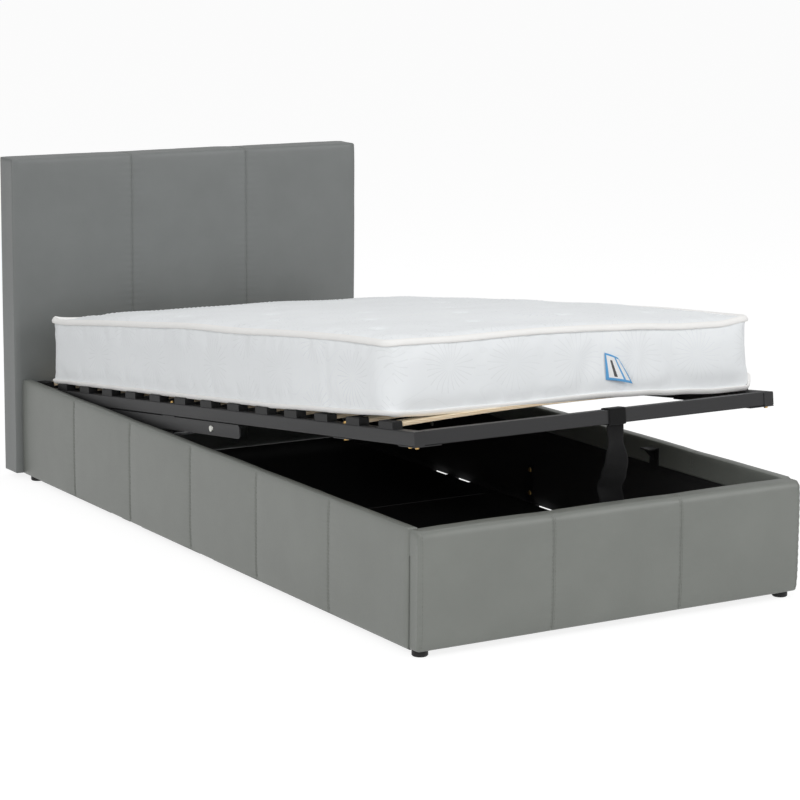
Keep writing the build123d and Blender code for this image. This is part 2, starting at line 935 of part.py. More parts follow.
with BuildPart() as frame_gussets:
    for side, name in sides:
        for end, inward in ((platform_foot, 1), (platform_head, -1)):
            with BuildSketch(deck.offset(rail_bottom - gusset_thickness)):
                with BuildLine():
                    Polyline(
                        (side * platform_half_width, end),
                        (side * (platform_half_width - gusset_size), end),
                        (side * (platform_half_width - gusset_size), end + inward * rail_width),
                        (side * rail_inner_x, end + inward * gusset_size),
                        (side * platform_half_width, end + inward * gusset_size),
                        close=True,
                    )
                make_face()
            extrude(amount=gusset_thickness)
        for along, reach in ((splice_place, rail_width), (cross_rail_place, gusset_size)):
            deck_block(
                side * (platform_half_width - reach),
                side * platform_half_width,
                along - gusset_size / 2,
                along + gusset_size / 2,
                rail_bottom - gusset_thickness,
                rail_bottom,
            )
    drill_frame_bolts()
save(frame_gussets, "frame_gussets")

with BuildPart() as frame_bolts:
    for seat in frame_seats(through_bolt_places, rail_top, 1):
        bolt(
            seat,
            frame_head_radius,
            frame_head_height,
            frame_bolt_radius,
            rail_height + gusset_thickness,
        )
    for seat in frame_seats(through_bolt_places, rail_bottom - gusset_thickness, -1):
        with BuildSketch(seat):
            RegularPolygon(frame_head_radius, nut_sides)
        extrude(amount=frame_head_height)
    for seat in frame_seats(corner_screw_places, rail_bottom - gusset_thickness, -1):
        bolt(
            seat,
            frame_head_radius,
            frame_head_height,
            frame_bolt_radius,
            gusset_thickness + rail_wall,
        )
    for side, name in sides:
        for seat in tab_bolt_seats(side):
            bolt(
                seat,
                frame_head_radius,
                frame_head_height,
                frame_bolt_radius,
                arm_tab_thickness + arm_gap,
            )
save(frame_bolts, "frame_bolts")


# Slat holders on the side rails, and the bowed slats that spring between them
with BuildPart() as slat_holders:
    for side, name in sides:
        for along in slat_places:
            deck_block(
                side * holder_inner_x,
                side * holder_outer_x,
                along - holder_length / 2,
                along + holder_length / 2,
                rail_top,
                rail_top + holder_height,
            )
    chamfer(slat_holders.faces().group_by(Axis(deck.origin, deck.z_dir))[-1].edges(), holder_edge)
    for side, name in sides:
        for along in slat_places:
            deck_block(
                side * (holder_inner_x - cut_overrun),
                side * (holder_outer_x - holder_wall),
                along - slat_width / 2 - pocket_clearance,
                along + slat_width / 2 + pocket_clearance,
                rail_top + holder_wall,
                rail_top + holder_wall + pocket_height,
                mode=Mode.SUBTRACT,
            )
save(slat_holders, "slat_holders")

for number, along in enumerate(slat_places, start=1):
    slat_middle = slat_end_bottom + slat_thickness / 2
    with BuildPart() as slat:
        with BuildLine(deck_across(along)):
            bow = ThreePointArc(
                (-slat_end_x, slat_middle), (0, slat_middle + slat_bow), (slat_end_x, slat_middle)
            )
        with BuildSketch(Plane(origin=bow @ 0, x_dir=deck.y_dir, z_dir=bow % 0)):
            RectangleRounded(slat_width, slat_thickness, slat_edge_radius)
        sweep()
    save(slat, f"slat_{number:02d}")


# Gas struts: a cylinder and a chromed rod, each with an eye at its outer end
def strut_plane(side, reach):
    """The plane square to a strut at a distance from its lower eye, facing its upper eye."""
    return Plane(
        origin=(
            side * strut_across,
            strut_base_y - reach * cos(strut_angle),
            strut_base_z + reach * sin(strut_angle),
        ),
        x_dir=(1, 0, 0),
        z_dir=(0, -cos(strut_angle), sin(strut_angle)),
    )


def strut_eye(side, reach, neck_end, bore):
    """An eye across the strut with a neck along it; a bore of zero leaves the eye solid."""
    centre = strut_plane(side, reach).origin
    barrel = Plane(origin=(centre.X - eye_width / 2, centre.Y, centre.Z), z_dir=(1, 0, 0))
    rod_between(strut_plane(side, 0), eye_neck_radius, reach, neck_end)
    rod_between(barrel, eye_radius, 0, eye_width)
    if bore:
        rod_between(barrel, bore, -cut_overrun, eye_width + cut_overrun, mode=Mode.SUBTRACT)


for side, name in sides:
    axis_plane = strut_plane(side, 0)

    with BuildPart() as strut_cylinder:
        bore_radius = cylinder_radius - cylinder_wall
        rod_between(axis_plane, cylinder_radius, cylinder_start, cylinder_end)
        fillet(strut_cylinder.edges().filter_by(GeomType.CIRCLE), cylinder_wall)
        rod_between(
            axis_plane,
            bore_radius,
            cylinder_start + cylinder_cap,
            cylinder_end - cylinder_cap,
            mode=Mode.SUBTRACT,
        )
        rod_between(
            axis_plane,
            rod_radius + pin_clearance,
            cylinder_end - cylinder_cap - cut_overrun,
            cylinder_end + cut_overrun,
            mode=Mode.SUBTRACT,
        )
    save(strut_cylinder, f"{name}_strut_cylinder")

    with BuildPart() as strut_base_end:
        strut_eye(side, 0, cylinder_start, stud_radius + pin_clearance)
    save(strut_base_end, f"{name}_strut_base_end")

    with BuildPart() as strut_rod:
        rod_between(axis_plane, rod_radius, rod_inner_reach, rod_eye_start)
        rod_between(
            axis_plane,
            bore_radius - piston_clearance,
            rod_inner_reach - piston_length,
            rod_inner_reach,
        )
    save(strut_rod, f"{name}_strut_rod")

    with BuildPart() as strut_rod_end:
        strut_eye(side, strut_length, rod_eye_start, 0)
    save(strut_rod_end, f"{name}_strut_rod_end")


# Studs: the lower ones carry the struts, the upper ones stand on the arms beside the rods' eyes
with BuildPart() as strut_lower_studs:
    for side, name in sides:
        stud_plane = facing(side * inner_half, strut_base_y, strut_base_z, (-side, 0, 0))
        eye_near = inner_half - strut_across - eye_width / 2
        eye_far = eye_near + eye_width
        rod_between(stud_plane, stud_radius, 0, eye_far + washer_clearance)
        rod_between(stud_plane, stud_collar_radius, plate_thickness, eye_near - washer_clearance)
        rod_between(
            stud_plane,
            stud_collar_radius,
            eye_far + washer_clearance,
            eye_far + washer_clearance + stud_cap_thickness,
        )
save(strut_lower_studs, "strut_lower_studs")

with BuildPart() as strut_upper_studs:
    for side, name in sides:
        stud_plane = Plane(
            origin=deck.from_local_coords((side * arm_outer_x, -strut_top_reach, 0)),
            x_dir=deck.y_dir,
            z_dir=(side, 0, 0),
        )
        stud_end = arm_outer_x - strut_across - eye_width / 2 - open_pivot_gap
        bolt(stud_plane, stud_head_radius, stud_head_height, stud_radius, stud_end)
        rod_between(stud_plane, stud_collar_radius, -arm_thickness, -stud_end)
save(strut_upper_studs, "strut_upper_studs")


# Mattress: sides drawn in between two taped edges, and a crowned top
def draw_mattress_outline(height, inset, sag):
    """The mattress's outline at a height, with sides that curve in and round corners."""
    across_half = mattress_half_width - inset
    along_low = mattress_foot + inset
    along_high = mattress_head - inset
    along_mid = (along_low + along_high) / 2
    with BuildSketch(deck.offset(height)) as outline:
        with BuildLine():
            ThreePointArc(
                (across_half, along_low), (across_half - sag, along_mid), (across_half, along_high)
            )
            ThreePointArc((across_half, along_high), (0, along_high - sag), (-across_half, along_high))
            ThreePointArc(
                (-across_half, along_high), (-across_half + sag, along_mid), (-across_half, along_low)
            )
            ThreePointArc((-across_half, along_low), (0, along_low + sag), (across_half, along_low))
        make_face()
        fillet(vertices(), mattress_corner_radius)
    return outline.sketch


with BuildPart() as mattress:
    mattress_top = mattress_bottom + mattress_thickness
    outlines = [
        draw_mattress_outline(mattress_bottom, mattress_tuck, mattress_side_sag),
        draw_mattress_outline(mattress_bottom + mattress_edge_rise, 0, mattress_side_sag),
        draw_mattress_outline(
            (mattress_bottom + mattress_top) / 2, mattress_waist, mattress_side_sag + mattress_waist
        ),
        draw_mattress_outline(mattress_top - mattress_edge_rise, 0, mattress_side_sag),
        draw_mattress_outline(mattress_top, mattress_tuck, mattress_side_sag),
    ]
    for inset_share, rise_share in zip(crown_inset_shares, crown_rise_shares):
        outlines.append(
            draw_mattress_outline(
                mattress_top + rise_share * mattress_crown,
                mattress_tuck + inset_share * mattress_half_width,
                mattress_side_sag,
            )
        )
    loft(outlines, ruled=True)
save(mattress, "mattress")


# Pull strap: a band round the foot rail and a tail that hangs from it with a twist
strap_low = rail_bottom - strap_clearance - strap_thickness
strap_high = rail_top + strap_clearance + strap_thickness
strap_grip = strap_clearance + strap_thickness
strap_foot = side_rail_foot - strap_grip
strap_head = side_rail_foot + rail_width + strap_grip

with BuildPart() as pull_strap:
    with BuildSketch(deck_upright(strap_across - strap_width / 2)):
        draw_rectangle(strap_foot, strap_head, strap_low, strap_high)
        draw_rectangle(
            strap_foot + strap_thickness,
            strap_head - strap_thickness,
            strap_low + strap_thickness,
            strap_high - strap_thickness,
            mode=Mode.SUBTRACT,
        )
    extrude(amount=strap_width)
    root = deck.from_local_coords(
        (strap_across, side_rail_foot + strap_root, strap_low + strap_thickness / 2)
    )
    for drop_share, turn, shift_share, width_share in zip(
        strap_drop_shares, strap_turns, strap_shift_shares, strap_width_shares
    ):
        level = Plane(
            origin=(root.X + shift_share * strap_tail_width, root.Y, root.Z - drop_share * strap_tail),
            x_dir=(cos(radians(turn)), sin(radians(turn)), 0),
            z_dir=(0, 0, 1),
        )
        with BuildSketch(level):
            Rectangle(
                strap_width + width_share * (strap_tail_width - strap_width), strap_thickness
            )
    loft(ruled=True)
save(pull_strap, "pull_strap")

print(f"strut length at rest {strut_length:.2f}, rising {degrees(strut_angle):.2f} degrees")
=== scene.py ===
"""Looks of the upholstered ottoman bed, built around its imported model.

Metres, +Z up, the foot at -Y. Pieces of the lifting platform are placed in its own frame:
x across, along from the pivot towards the headboard, and height square to the slats.
"""

import json
import math

import bpy
from mathutils import Matrix, Quaternion, Vector, noise
from mathutils.bvhtree import BVHTree


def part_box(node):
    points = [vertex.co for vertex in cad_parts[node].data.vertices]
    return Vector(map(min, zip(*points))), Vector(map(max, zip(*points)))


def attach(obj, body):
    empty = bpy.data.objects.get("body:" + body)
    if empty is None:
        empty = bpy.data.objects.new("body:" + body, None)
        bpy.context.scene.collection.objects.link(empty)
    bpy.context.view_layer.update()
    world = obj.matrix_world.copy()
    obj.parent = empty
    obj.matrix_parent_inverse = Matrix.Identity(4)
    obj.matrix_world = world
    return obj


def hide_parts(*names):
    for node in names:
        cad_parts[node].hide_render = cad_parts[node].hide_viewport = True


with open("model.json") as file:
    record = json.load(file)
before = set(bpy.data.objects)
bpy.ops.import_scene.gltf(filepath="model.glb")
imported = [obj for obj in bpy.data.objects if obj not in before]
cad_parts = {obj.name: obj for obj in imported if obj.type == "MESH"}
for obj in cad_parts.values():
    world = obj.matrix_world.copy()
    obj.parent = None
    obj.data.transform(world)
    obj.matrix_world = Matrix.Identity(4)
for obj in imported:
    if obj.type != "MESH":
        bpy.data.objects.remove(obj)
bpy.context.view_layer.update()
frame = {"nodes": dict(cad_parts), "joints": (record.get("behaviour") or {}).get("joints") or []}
nodes = frame["nodes"]
lift = next(joint for joint in frame["joints"] if joint["name"] == "platform_lift")
pivot = Vector(lift["pos_m"])
open_turn = math.radians(-lift["range_deg"][0])
deck = Matrix.Translation(pivot) @ Matrix.Rotation(-open_turn, 4, "X")


# Camera at the photograph's viewing angle
FOCAL_PIXELS = 2647.9
FRAME_PIXELS = 800
SENSOR_WIDTH = 36.0
CAMERA_PLACE = Vector((-3.2016, -5.3525, 1.4965))
CAMERA_YAW = math.radians(31.583)
CAMERA_PITCH = math.radians(9.393)
CAMERA_ROLL = math.radians(0.408)
SHIFT_ACROSS = -0.0015
SHIFT_UP = -0.0750


def make_camera():
    """The photograph's camera, looking at the foot and the left side from a little above."""
    camera = bpy.data.objects.new("camera", bpy.data.cameras.new("camera"))
    bpy.context.scene.collection.objects.link(camera)
    camera.data.sensor_width = SENSOR_WIDTH
    camera.data.lens = SENSOR_WIDTH * FOCAL_PIXELS / FRAME_PIXELS
    camera.data.shift_x = SHIFT_ACROSS
    camera.data.shift_y = SHIFT_UP
    camera.location = CAMERA_PLACE
    view = Vector(
        (
            math.sin(CAMERA_YAW) * math.cos(CAMERA_PITCH),
            math.cos(CAMERA_YAW) * math.cos(CAMERA_PITCH),
            -math.sin(CAMERA_PITCH),
        )
    )
    camera.rotation_mode = "QUATERNION"
    level = view.to_track_quat("-Z", "Y")
    camera.rotation_quaternion = level @ Quaternion((0, 0, 1), CAMERA_ROLL)
    bpy.context.scene.camera = camera


make_camera()
bpy.context.scene.view_settings.view_transform = "Standard"


# Materials: each is built from nodes that read the object's own coordinates
BLACK = (0.0, 0.0, 0.0, 1.0)
WHITE = (1.0, 1.0, 1.0, 1.0)


def srgb(red, green, blue):
    """A colour from its 0 to 255 screen values, as the shader wants it."""
    def linear(value):
        share = value / 255
        return share / 12.92 if share <= 0.04045 else ((share + 0.055) / 1.055) ** 2.4

    return (linear(red), linear(green), linear(blue), 1.0)


def shaded(colour, share):
    """A colour made darker or lighter by a share."""
    return tuple(channel * share for channel in colour[:3]) + (1.0,)


def add_node(tree, kind, inputs=None, **settings):
    """A new node with its settings, and its inputs linked or set by name or number."""
    node = tree.nodes.new("ShaderNode" + kind)
    for name, value in settings.items():
        setattr(node, name, value)
    for name, value in (inputs or {}).items():
        if isinstance(value, bpy.types.NodeSocket):
            tree.links.new(value, node.inputs[name])
        else:
            node.inputs[name].default_value = value
    return node


class Paint:
    """One material and short ways to add nodes to it."""

    def __init__(self, name, **sockets):
        self.material = bpy.data.materials.new(name)
        self.material.use_nodes = True
        self.tree = self.material.node_tree
        self.shader = self.tree.nodes["Principled BSDF"]
        for socket, value in sockets.items():
            self.shader.inputs[socket.replace("_", " ")].default_value = value
        self.place = self.add("TexCoord").outputs["Object"]

    def add(self, kind, inputs=None, **settings):
        """One more node of this material."""
        return add_node(self.tree, kind, inputs, **settings)

    def math(self, operation, first, *others):
        """The result of one sum, or of a chain of them from the first value on."""
        for other in others or (0.0,):
            first = self.add("Math", {0: first, 1: other}, operation=operation).outputs[0]
        return first

    def axes(self, vector):
        """The three parts of a vector."""
        return self.add("SeparateXYZ", {"Vector": vector}).outputs

    def levelled(self, vector):
        """A vector turned into the platform's own directions."""
        inputs = {"Vector": vector, "Angle": open_turn}
        return self.add("VectorRotate", inputs, rotation_type="X_AXIS").outputs[0]

    def on_deck(self, scale=(1.0, 1.0, 1.0)):
        """The coordinates in the platform's own frame, scaled."""
        moved = self.add("VectorMath", {0: self.place, 1: pivot}, operation="SUBTRACT").outputs[0]
        inputs = {0: self.levelled(moved), 1: scale}
        return self.add("VectorMath", inputs, operation="MULTIPLY").outputs[0]

    def noise(self, scale, detail=3.0, roughness=0.55, vector=None):
        """Soft noise, from 0 to 1."""
        inputs = {"Scale": scale, "Detail": detail, "Roughness": roughness}
        return self.add("TexNoise", {"Vector": vector or self.place, **inputs}).outputs["Fac"]

    def ramp(self, value, *stops):
        """A colour for a value, from pairs of position and colour."""
        node = self.add("ValToRGB", {"Fac": value})
        elements = node.color_ramp.elements
        while len(elements) < len(stops):
            elements.new(0.5)
        for element, (position, colour) in zip(elements, stops):
            element.position = position
            element.color = colour
        return node.outputs["Color"]

    def tinted(self, value, colour, low, high, end=0.7):
        """A colour that goes from one shade to another as a value rises to an end."""
        return self.ramp(value, (0.3, shaded(colour, low)), (end, shaded(colour, high)))

    def worn(self, start, end, strength):
        """How worn a sharp edge is, up to a strength."""
        sharp = self.add("NewGeometry").outputs["Pointiness"]
        return self.math("MULTIPLY", self.ramp(sharp, (start, BLACK), (end, WHITE)), strength)

    def mix(self, share, first, second):
        """Two colours mixed by a share."""
        return self.add("Mix", {0: share, 6: first, 7: second}, data_type="RGBA").outputs[2]

    def spread(self, value, low, high):
        """A value from 0 to 1 spread between two others."""
        return self.add("MapRange", {"Value": value, "To Min": low, "To Max": high}).outputs[0]

    def finish(self, colour, rough, *layers):
        """The material with its colour, its roughness from a value and two ends, and its bump.

        Each layer of bump is a height from 0 to 1, its depth in metres and a strength.
        """
        normal = {}
        for height, depth, strength in layers:
            inputs = {"Height": height, "Distance": depth, "Strength": strength, **normal}
            normal = {"Normal": self.add("Bump", inputs).outputs["Normal"]}
        sockets = {"Base Color": colour, "Roughness": self.spread(*rough), **normal}
        for name, value in sockets.items():
            self.tree.links.new(value, self.shader.inputs[name])
        return self.material


def leather_paint(name, colour):
    """Coated leather-look cloth: pebbled grain, fine creases and slightly worn edges."""
    paint = Paint(name, Specular_IOR_Level=0.42, Coat_Weight=0.22, Coat_Roughness=0.3)
    inputs = {"Vector": paint.place, "Scale": 620.0}
    pebbles = paint.add("TexVoronoi", inputs, feature="SMOOTH_F1").outputs["Distance"]
    creases = paint.noise(160.0, 5.0, 0.65)
    ground = paint.tinted(paint.noise(7.0, 3.0, 0.6), colour, 0.95, 1.05)
    grained = paint.mix(paint.spread(pebbles, 0.0, 0.16), ground, shaded(colour, 0.72))
    edged = paint.mix(paint.worn(0.5, 0.58, 0.25), grained, shaded(colour, 1.3))
    return paint.finish(
        edged, (creases, 0.34, 0.5), (pebbles, 0.0005, 0.35), (creases, 0.0006, 0.3)
    )


def coated_paint(name, colour):
    """Powder-coated steel: a fine orange-peel skin, faint streaks and lighter worn edges."""
    paint = Paint(name, Specular_IOR_Level=0.34)
    streaks = paint.noise(1.0, 4.0, 0.6, paint.on_deck((6.0, 3.0, 60.0)))
    ground = paint.tinted(streaks, colour, 0.86, 1.14)
    edged = paint.mix(paint.worn(0.52, 0.6, 0.4), ground, shaded(colour, 1.9))
    return paint.finish(edged, (streaks, 0.38, 0.55), (paint.noise(900.0, 2.0), 0.0003, 0.25))


def plated_paint(name, colour):
    """Plated steel with a soft, slightly uneven shine."""
    paint = Paint(name, Metallic=1.0)
    stains = paint.noise(120.0, 4.0, 0.6)
    ground = paint.tinted(stains, colour, 0.75, 1.0, 0.75)
    return paint.finish(ground, (stains, 0.22, 0.45), (paint.noise(1500.0, 2.0), 0.0002, 0.2))


def plastic_paint(name, colour):
    """Moulded plastic with a fine spark-eroded texture."""
    paint = Paint(name, Specular_IOR_Level=0.4)
    grain = paint.noise(1400.0, 3.0)
    ground = paint.tinted(paint.noise(40.0), colour, 0.8, 1.25)
    return paint.finish(ground, (grain, 0.45, 0.65), (grain, 0.0002, 0.35))


PLY = 0.0015


def birch_paint(name, bow, half_width, middle):
    """Birch plywood: grain along the slat, and its layers showing on the long edges."""
    pale, brown, glue = srgb(253, 238, 210), srgb(242, 218, 178), srgb(222, 190, 150)
    paint = Paint(name, Specular_IOR_Level=0.45, Coat_Weight=0.15, Coat_Roughness=0.35)
    axes = paint.axes(paint.on_deck())
    across = paint.math("DIVIDE", axes[0], half_width)
    rise = paint.math("MULTIPLY", paint.math("POWER", across, 2.0), bow)
    level = paint.math("ADD", paint.math("SUBTRACT", axes[2], middle + bow), rise, 1.0)
    layer = paint.math("DIVIDE", paint.math("PINGPONG", level, PLY), PLY)
    stretched = paint.on_deck((2.2, 70.0, 160.0))
    grain = paint.noise(1.0, 5.0, 0.62, stretched)
    pores = paint.noise(3.5, 2.0, 0.5, stretched)
    face = paint.ramp(grain, (0.32, brown), (0.55, pale), (0.8, shaded(pale, 1.06)))
    edge = paint.ramp(paint.spread(layer, -1.0, 2.0), (0.25, glue), (0.5, brown), (0.75, pale))
    upright = paint.axes(paint.levelled(paint.add("NewGeometry").outputs["Normal"]))[2]
    flat = paint.math("GREATER_THAN", paint.math("ABSOLUTE", upright), 0.6)
    return paint.finish(
        paint.mix(flat, edge, face), (pores, 0.4, 0.6), (grain, 0.0003, 0.3), (pores, 0.0002, 0.3)
    )


def woven(paint, vector, pitch):
    """A plain weave's height from 0 to 1, with threads a pitch apart."""
    turns = [paint.math("MULTIPLY", axis, math.pi / pitch) for axis in paint.axes(vector)]
    waves = [paint.math("SINE", turn) for turn in turns]
    flat = paint.math("ADD", paint.math("MULTIPLY", waves[0], waves[1]), waves[2])
    crossed = paint.math("MULTIPLY", *waves)
    both = paint.math("ADD", crossed, paint.math("MULTIPLY", flat, 0.3))
    return paint.spread(both, 0.5, 1.0)


def cloth_paint(name, colour, pitch=0.0011, sheen=0.25, contrast=1.0):
    """Plain woven cloth with a little sheen and lint, and its own contrast of thread and gap."""
    paint = Paint(name, Specular_IOR_Level=0.25, Sheen_Weight=sheen, Sheen_Roughness=0.5)
    weave = woven(paint, paint.place, pitch)
    lint = paint.noise(45.0, 4.0, 0.65)
    ground = paint.tinted(lint, colour, 1 - 0.18 * contrast, 1 + 0.2 * contrast, 0.75)
    mixed = paint.mix(weave, shaded(colour, 1 - 0.3 * contrast), ground)
    return paint.finish(mixed, (lint, 0.75, 0.92), (weave, 0.0004, 0.5), (lint, 0.0008, 0.25))


def board_paint(name, colour):
    """Dyed hardboard: short pressed fibres and a dull face."""
    paint = Paint(name, Specular_IOR_Level=0.3)
    fibres = paint.noise(260.0, 6.0, 0.7)
    ground = paint.tinted(paint.noise(9.0, 4.0, 0.6), colour, 0.75, 1.3, 0.75)
    return paint.finish(ground, (fibres, 0.55, 0.75), (fibres, 0.0004, 0.35))


FLOWER_CELL = 0.155
FLOWER_RAYS = 24.0
FLOWER_RADIUS = 0.034
FLOWER_EYE = 0.011
CURL_RADIUS = 0.066


def damask_paint(name, colour):
    """White mattress cloth with a tone-on-tone pattern of rayed flowers, in staggered rows."""
    paint = Paint(name, Specular_IOR_Level=0.3, Sheen_Weight=0.15, Sheen_Roughness=0.4)
    local = paint.on_deck()
    axes = paint.axes(local)
    normal = paint.axes(paint.add("NewGeometry").outputs["Normal"])
    side = paint.math("GREATER_THAN", paint.math("ABSOLUTE", normal[0]), 0.6)
    sideways = paint.math("MULTIPLY", axes[2], side)
    upright = paint.math("SUBTRACT", axes[2], sideways)
    first = paint.math("ADD", axes[0], sideways, 10 * FLOWER_CELL)
    second = paint.math("ADD", paint.math("SUBTRACT", axes[1], upright), 20 * FLOWER_CELL)
    row = paint.math("FLOOR", paint.math("DIVIDE", second, FLOWER_CELL))
    shifted = paint.math("ADD", first, paint.math("MULTIPLY", row, FLOWER_CELL / 2))
    across, along = (
        paint.math("SUBTRACT", paint.math("MODULO", run, FLOWER_CELL), FLOWER_CELL / 2)
        for run in (shifted, second)
    )
    squares = [paint.math("POWER", paint.math("ABSOLUTE", run), 2.0) for run in (across, along)]
    radius = paint.math("SQRT", paint.math("ADD", *squares))
    bent = paint.math("MULTIPLY", paint.noise(14.0, 1.0), 0.5)
    angle = paint.math("ADD", paint.math("ARCTAN2", along, across), bent)
    swirl = paint.math("MULTIPLY", radius, 9.0)
    spokes = paint.math("ADD", paint.math("MULTIPLY", angle, FLOWER_RAYS), swirl)
    lines = paint.math("GREATER_THAN", paint.math("SINE", spokes), 0.88)
    ragged = paint.math("MULTIPLY", paint.noise(22.0, 2.0), 0.05)
    inside = paint.math("LESS_THAN", radius, paint.math("ADD", ragged, FLOWER_RADIUS))
    outside = paint.math("GREATER_THAN", radius, FLOWER_EYE)
    flower = paint.math("MULTIPLY", lines, inside, outside)
    rings = paint.math("SINE", paint.math("MULTIPLY", paint.noise(9.0, 0.0), 60.0))
    curls = paint.math("MULTIPLY", paint.math("GREATER_THAN", rings, 0.95), 0.4)
    outer = paint.math("GREATER_THAN", radius, CURL_RADIUS)
    pattern = paint.math("MAXIMUM", flower, paint.math("MULTIPLY", curls, outer))
    faded = paint.math("MULTIPLY", pattern, paint.spread(paint.noise(5.0, 2.0), 0.0, 0.8))
    ground = paint.tinted(paint.noise(3.0, 3.0), colour, 0.97, 1.02)
    return paint.finish(
        paint.mix(faded, ground, shaded(colour, 0.84)),
        (faded, 0.75, 0.55),
        (woven(paint, local, 0.0012), 0.0003, 0.25),
        (paint.math("SUBTRACT", 1.0, faded), 0.0008, 0.35),
    )


LEATHER = srgb(129, 132, 127)
HEADBOARD_LEATHER = srgb(120, 123, 122)
CHARCOAL = srgb(37, 37, 38)
NEAR_BLACK = srgb(22, 22, 23)

leather = leather_paint("leather", LEATHER)
headboard_leather = leather_paint("headboard_leather", HEADBOARD_LEATHER)
rail_coat = coated_paint("rail_coat", CHARCOAL)
black_coat = coated_paint("black_coat", srgb(38, 38, 39))
zinc = plated_paint("zinc", srgb(214, 214, 208))
yellow_zinc = plated_paint("yellow_zinc", srgb(214, 176, 112))
chrome = plated_paint("chrome", srgb(232, 233, 235))
black_plastic = plastic_paint("black_plastic", srgb(19, 19, 20))
black_cloth = cloth_paint("black_cloth", srgb(24, 24, 26))
webbing = cloth_paint("webbing", srgb(10, 10, 11), pitch=0.0016, sheen=0.08)
floor_board = board_paint("floor_board", NEAR_BLACK)
raw_board = board_paint("raw_board", srgb(112, 112, 108))
thread = cloth_paint("thread", srgb(136, 138, 132), pitch=0.0006, sheen=0.1)
mattress_cloth = damask_paint("mattress_cloth", srgb(250, 253, 255))
tape_cloth = cloth_paint("tape_cloth", srgb(255, 254, 252), pitch=0.0014, sheen=0.3, contrast=0.1)
label_white = cloth_paint("label_white", srgb(250, 251, 252), pitch=0.0008, contrast=0.2)
label_blue = cloth_paint("label_blue", srgb(104, 176, 232), pitch=0.0008, contrast=0.4)
label_grey = cloth_paint("label_grey", srgb(92, 92, 94), pitch=0.0008)


# Meshes
def deck_box(node):
    """The lowest and highest corner of a CAD node in the platform's own frame."""
    inverse = deck.inverted()
    corners = [inverse @ vertex.co for vertex in nodes[node].data.vertices]
    low = Vector(min(corner[axis] for corner in corners) for axis in range(3))
    high = Vector(max(corner[axis] for corner in corners) for axis in range(3))
    return low, high


def made_mesh(name, corners, faces):
    """A mesh of the given corners and faces."""
    mesh = bpy.data.meshes.new(name)
    mesh.from_pydata(corners, [], faces)
    mesh.update()
    return mesh


def new_piece(name, mesh, material, body, place=None):
    """An object for a finished mesh, smooth, in place and riding on its body."""
    if place is not None:
        mesh.transform(place)
    mesh.polygons.foreach_set("use_smooth", [True] * len(mesh.polygons))
    mesh.materials.append(material)
    piece = bpy.data.objects.new(name, mesh)
    bpy.context.scene.collection.objects.link(piece)
    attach(piece, body)
    return piece


def stops(low, high, step, fine=(), fine_reach=0.0, fine_step=0.0):
    """Places from low to high a step apart, closer together near each fine place."""
    count = max(2, round((high - low) / step))
    places = {round(low + (high - low) * number / count, 6) for number in range(count + 1)}
    for centre in fine:
        ends = (low, high)
        places = {spot for spot in places if abs(spot - centre) > fine_reach or spot in ends}
        span = round(fine_reach / fine_step)
        places |= {round(centre + fine_step * number, 6) for number in range(-span, span + 1)}
    return sorted(place for place in places if low - 1e-9 <= place <= high + 1e-9)


def box_mesh(name, stations, shape):
    """A closed box of quads through the stations on each axis, each vertex placed by a shape."""
    numbers, corners, faces = {}, [], []

    def vertex(*index):
        if index not in numbers:
            numbers[index] = len(corners)
            corners.append(shape(Vector(places[spot] for places, spot in zip(stations, index))))
        return numbers[index]

    for axis in range(3):
        first, second = (axis + 1) % 3, (axis + 2) % 3
        for end in (0, len(stations[axis]) - 1):
            for one in range(len(stations[first]) - 1):
                for two in range(len(stations[second]) - 1):
                    quad = []
                    for step_one, step_two in ((0, 0), (1, 0), (1, 1), (0, 1)):
                        index = [0, 0, 0]
                        index[axis] = end
                        index[first] = one + step_one
                        index[second] = two + step_two
                        quad.append(vertex(*index))
                    faces.append(quad if end else quad[::-1])
    return made_mesh(name, corners, faces)


def rounded(point, low, high, low_radii, high_radii):
    """A point of a box's surface moved onto the box with rounded edges, and its outward direction."""
    core = Vector(
        min(max(point[axis], low[axis] + low_radii[axis]), high[axis] - high_radii[axis])
        for axis in range(3)
    )
    middle = (low + high) / 2
    radii = [
        high_radii[axis] if point[axis] > middle[axis] else low_radii[axis] for axis in range(3)
    ]
    away = Vector((point[axis] - core[axis]) / radii[axis] for axis in range(3))
    outward = away.normalized()
    moved = core + Vector(outward[axis] * radii[axis] for axis in range(3))
    return moved, outward


def edge_stops(low, high, low_radius, high_radius, step, *fine):
    """Stops for a rounded box: a few within each edge's radius, and even steps between."""
    bends = [1 - math.cos(math.pi / 8 * turn) for turn in range(4)]
    inner = stops(low + low_radius, high - high_radius, step, *fine)
    high_edge = [high - high_radius * bend for bend in reversed(bends)]
    return [low + low_radius * bend for bend in bends] + inner + high_edge


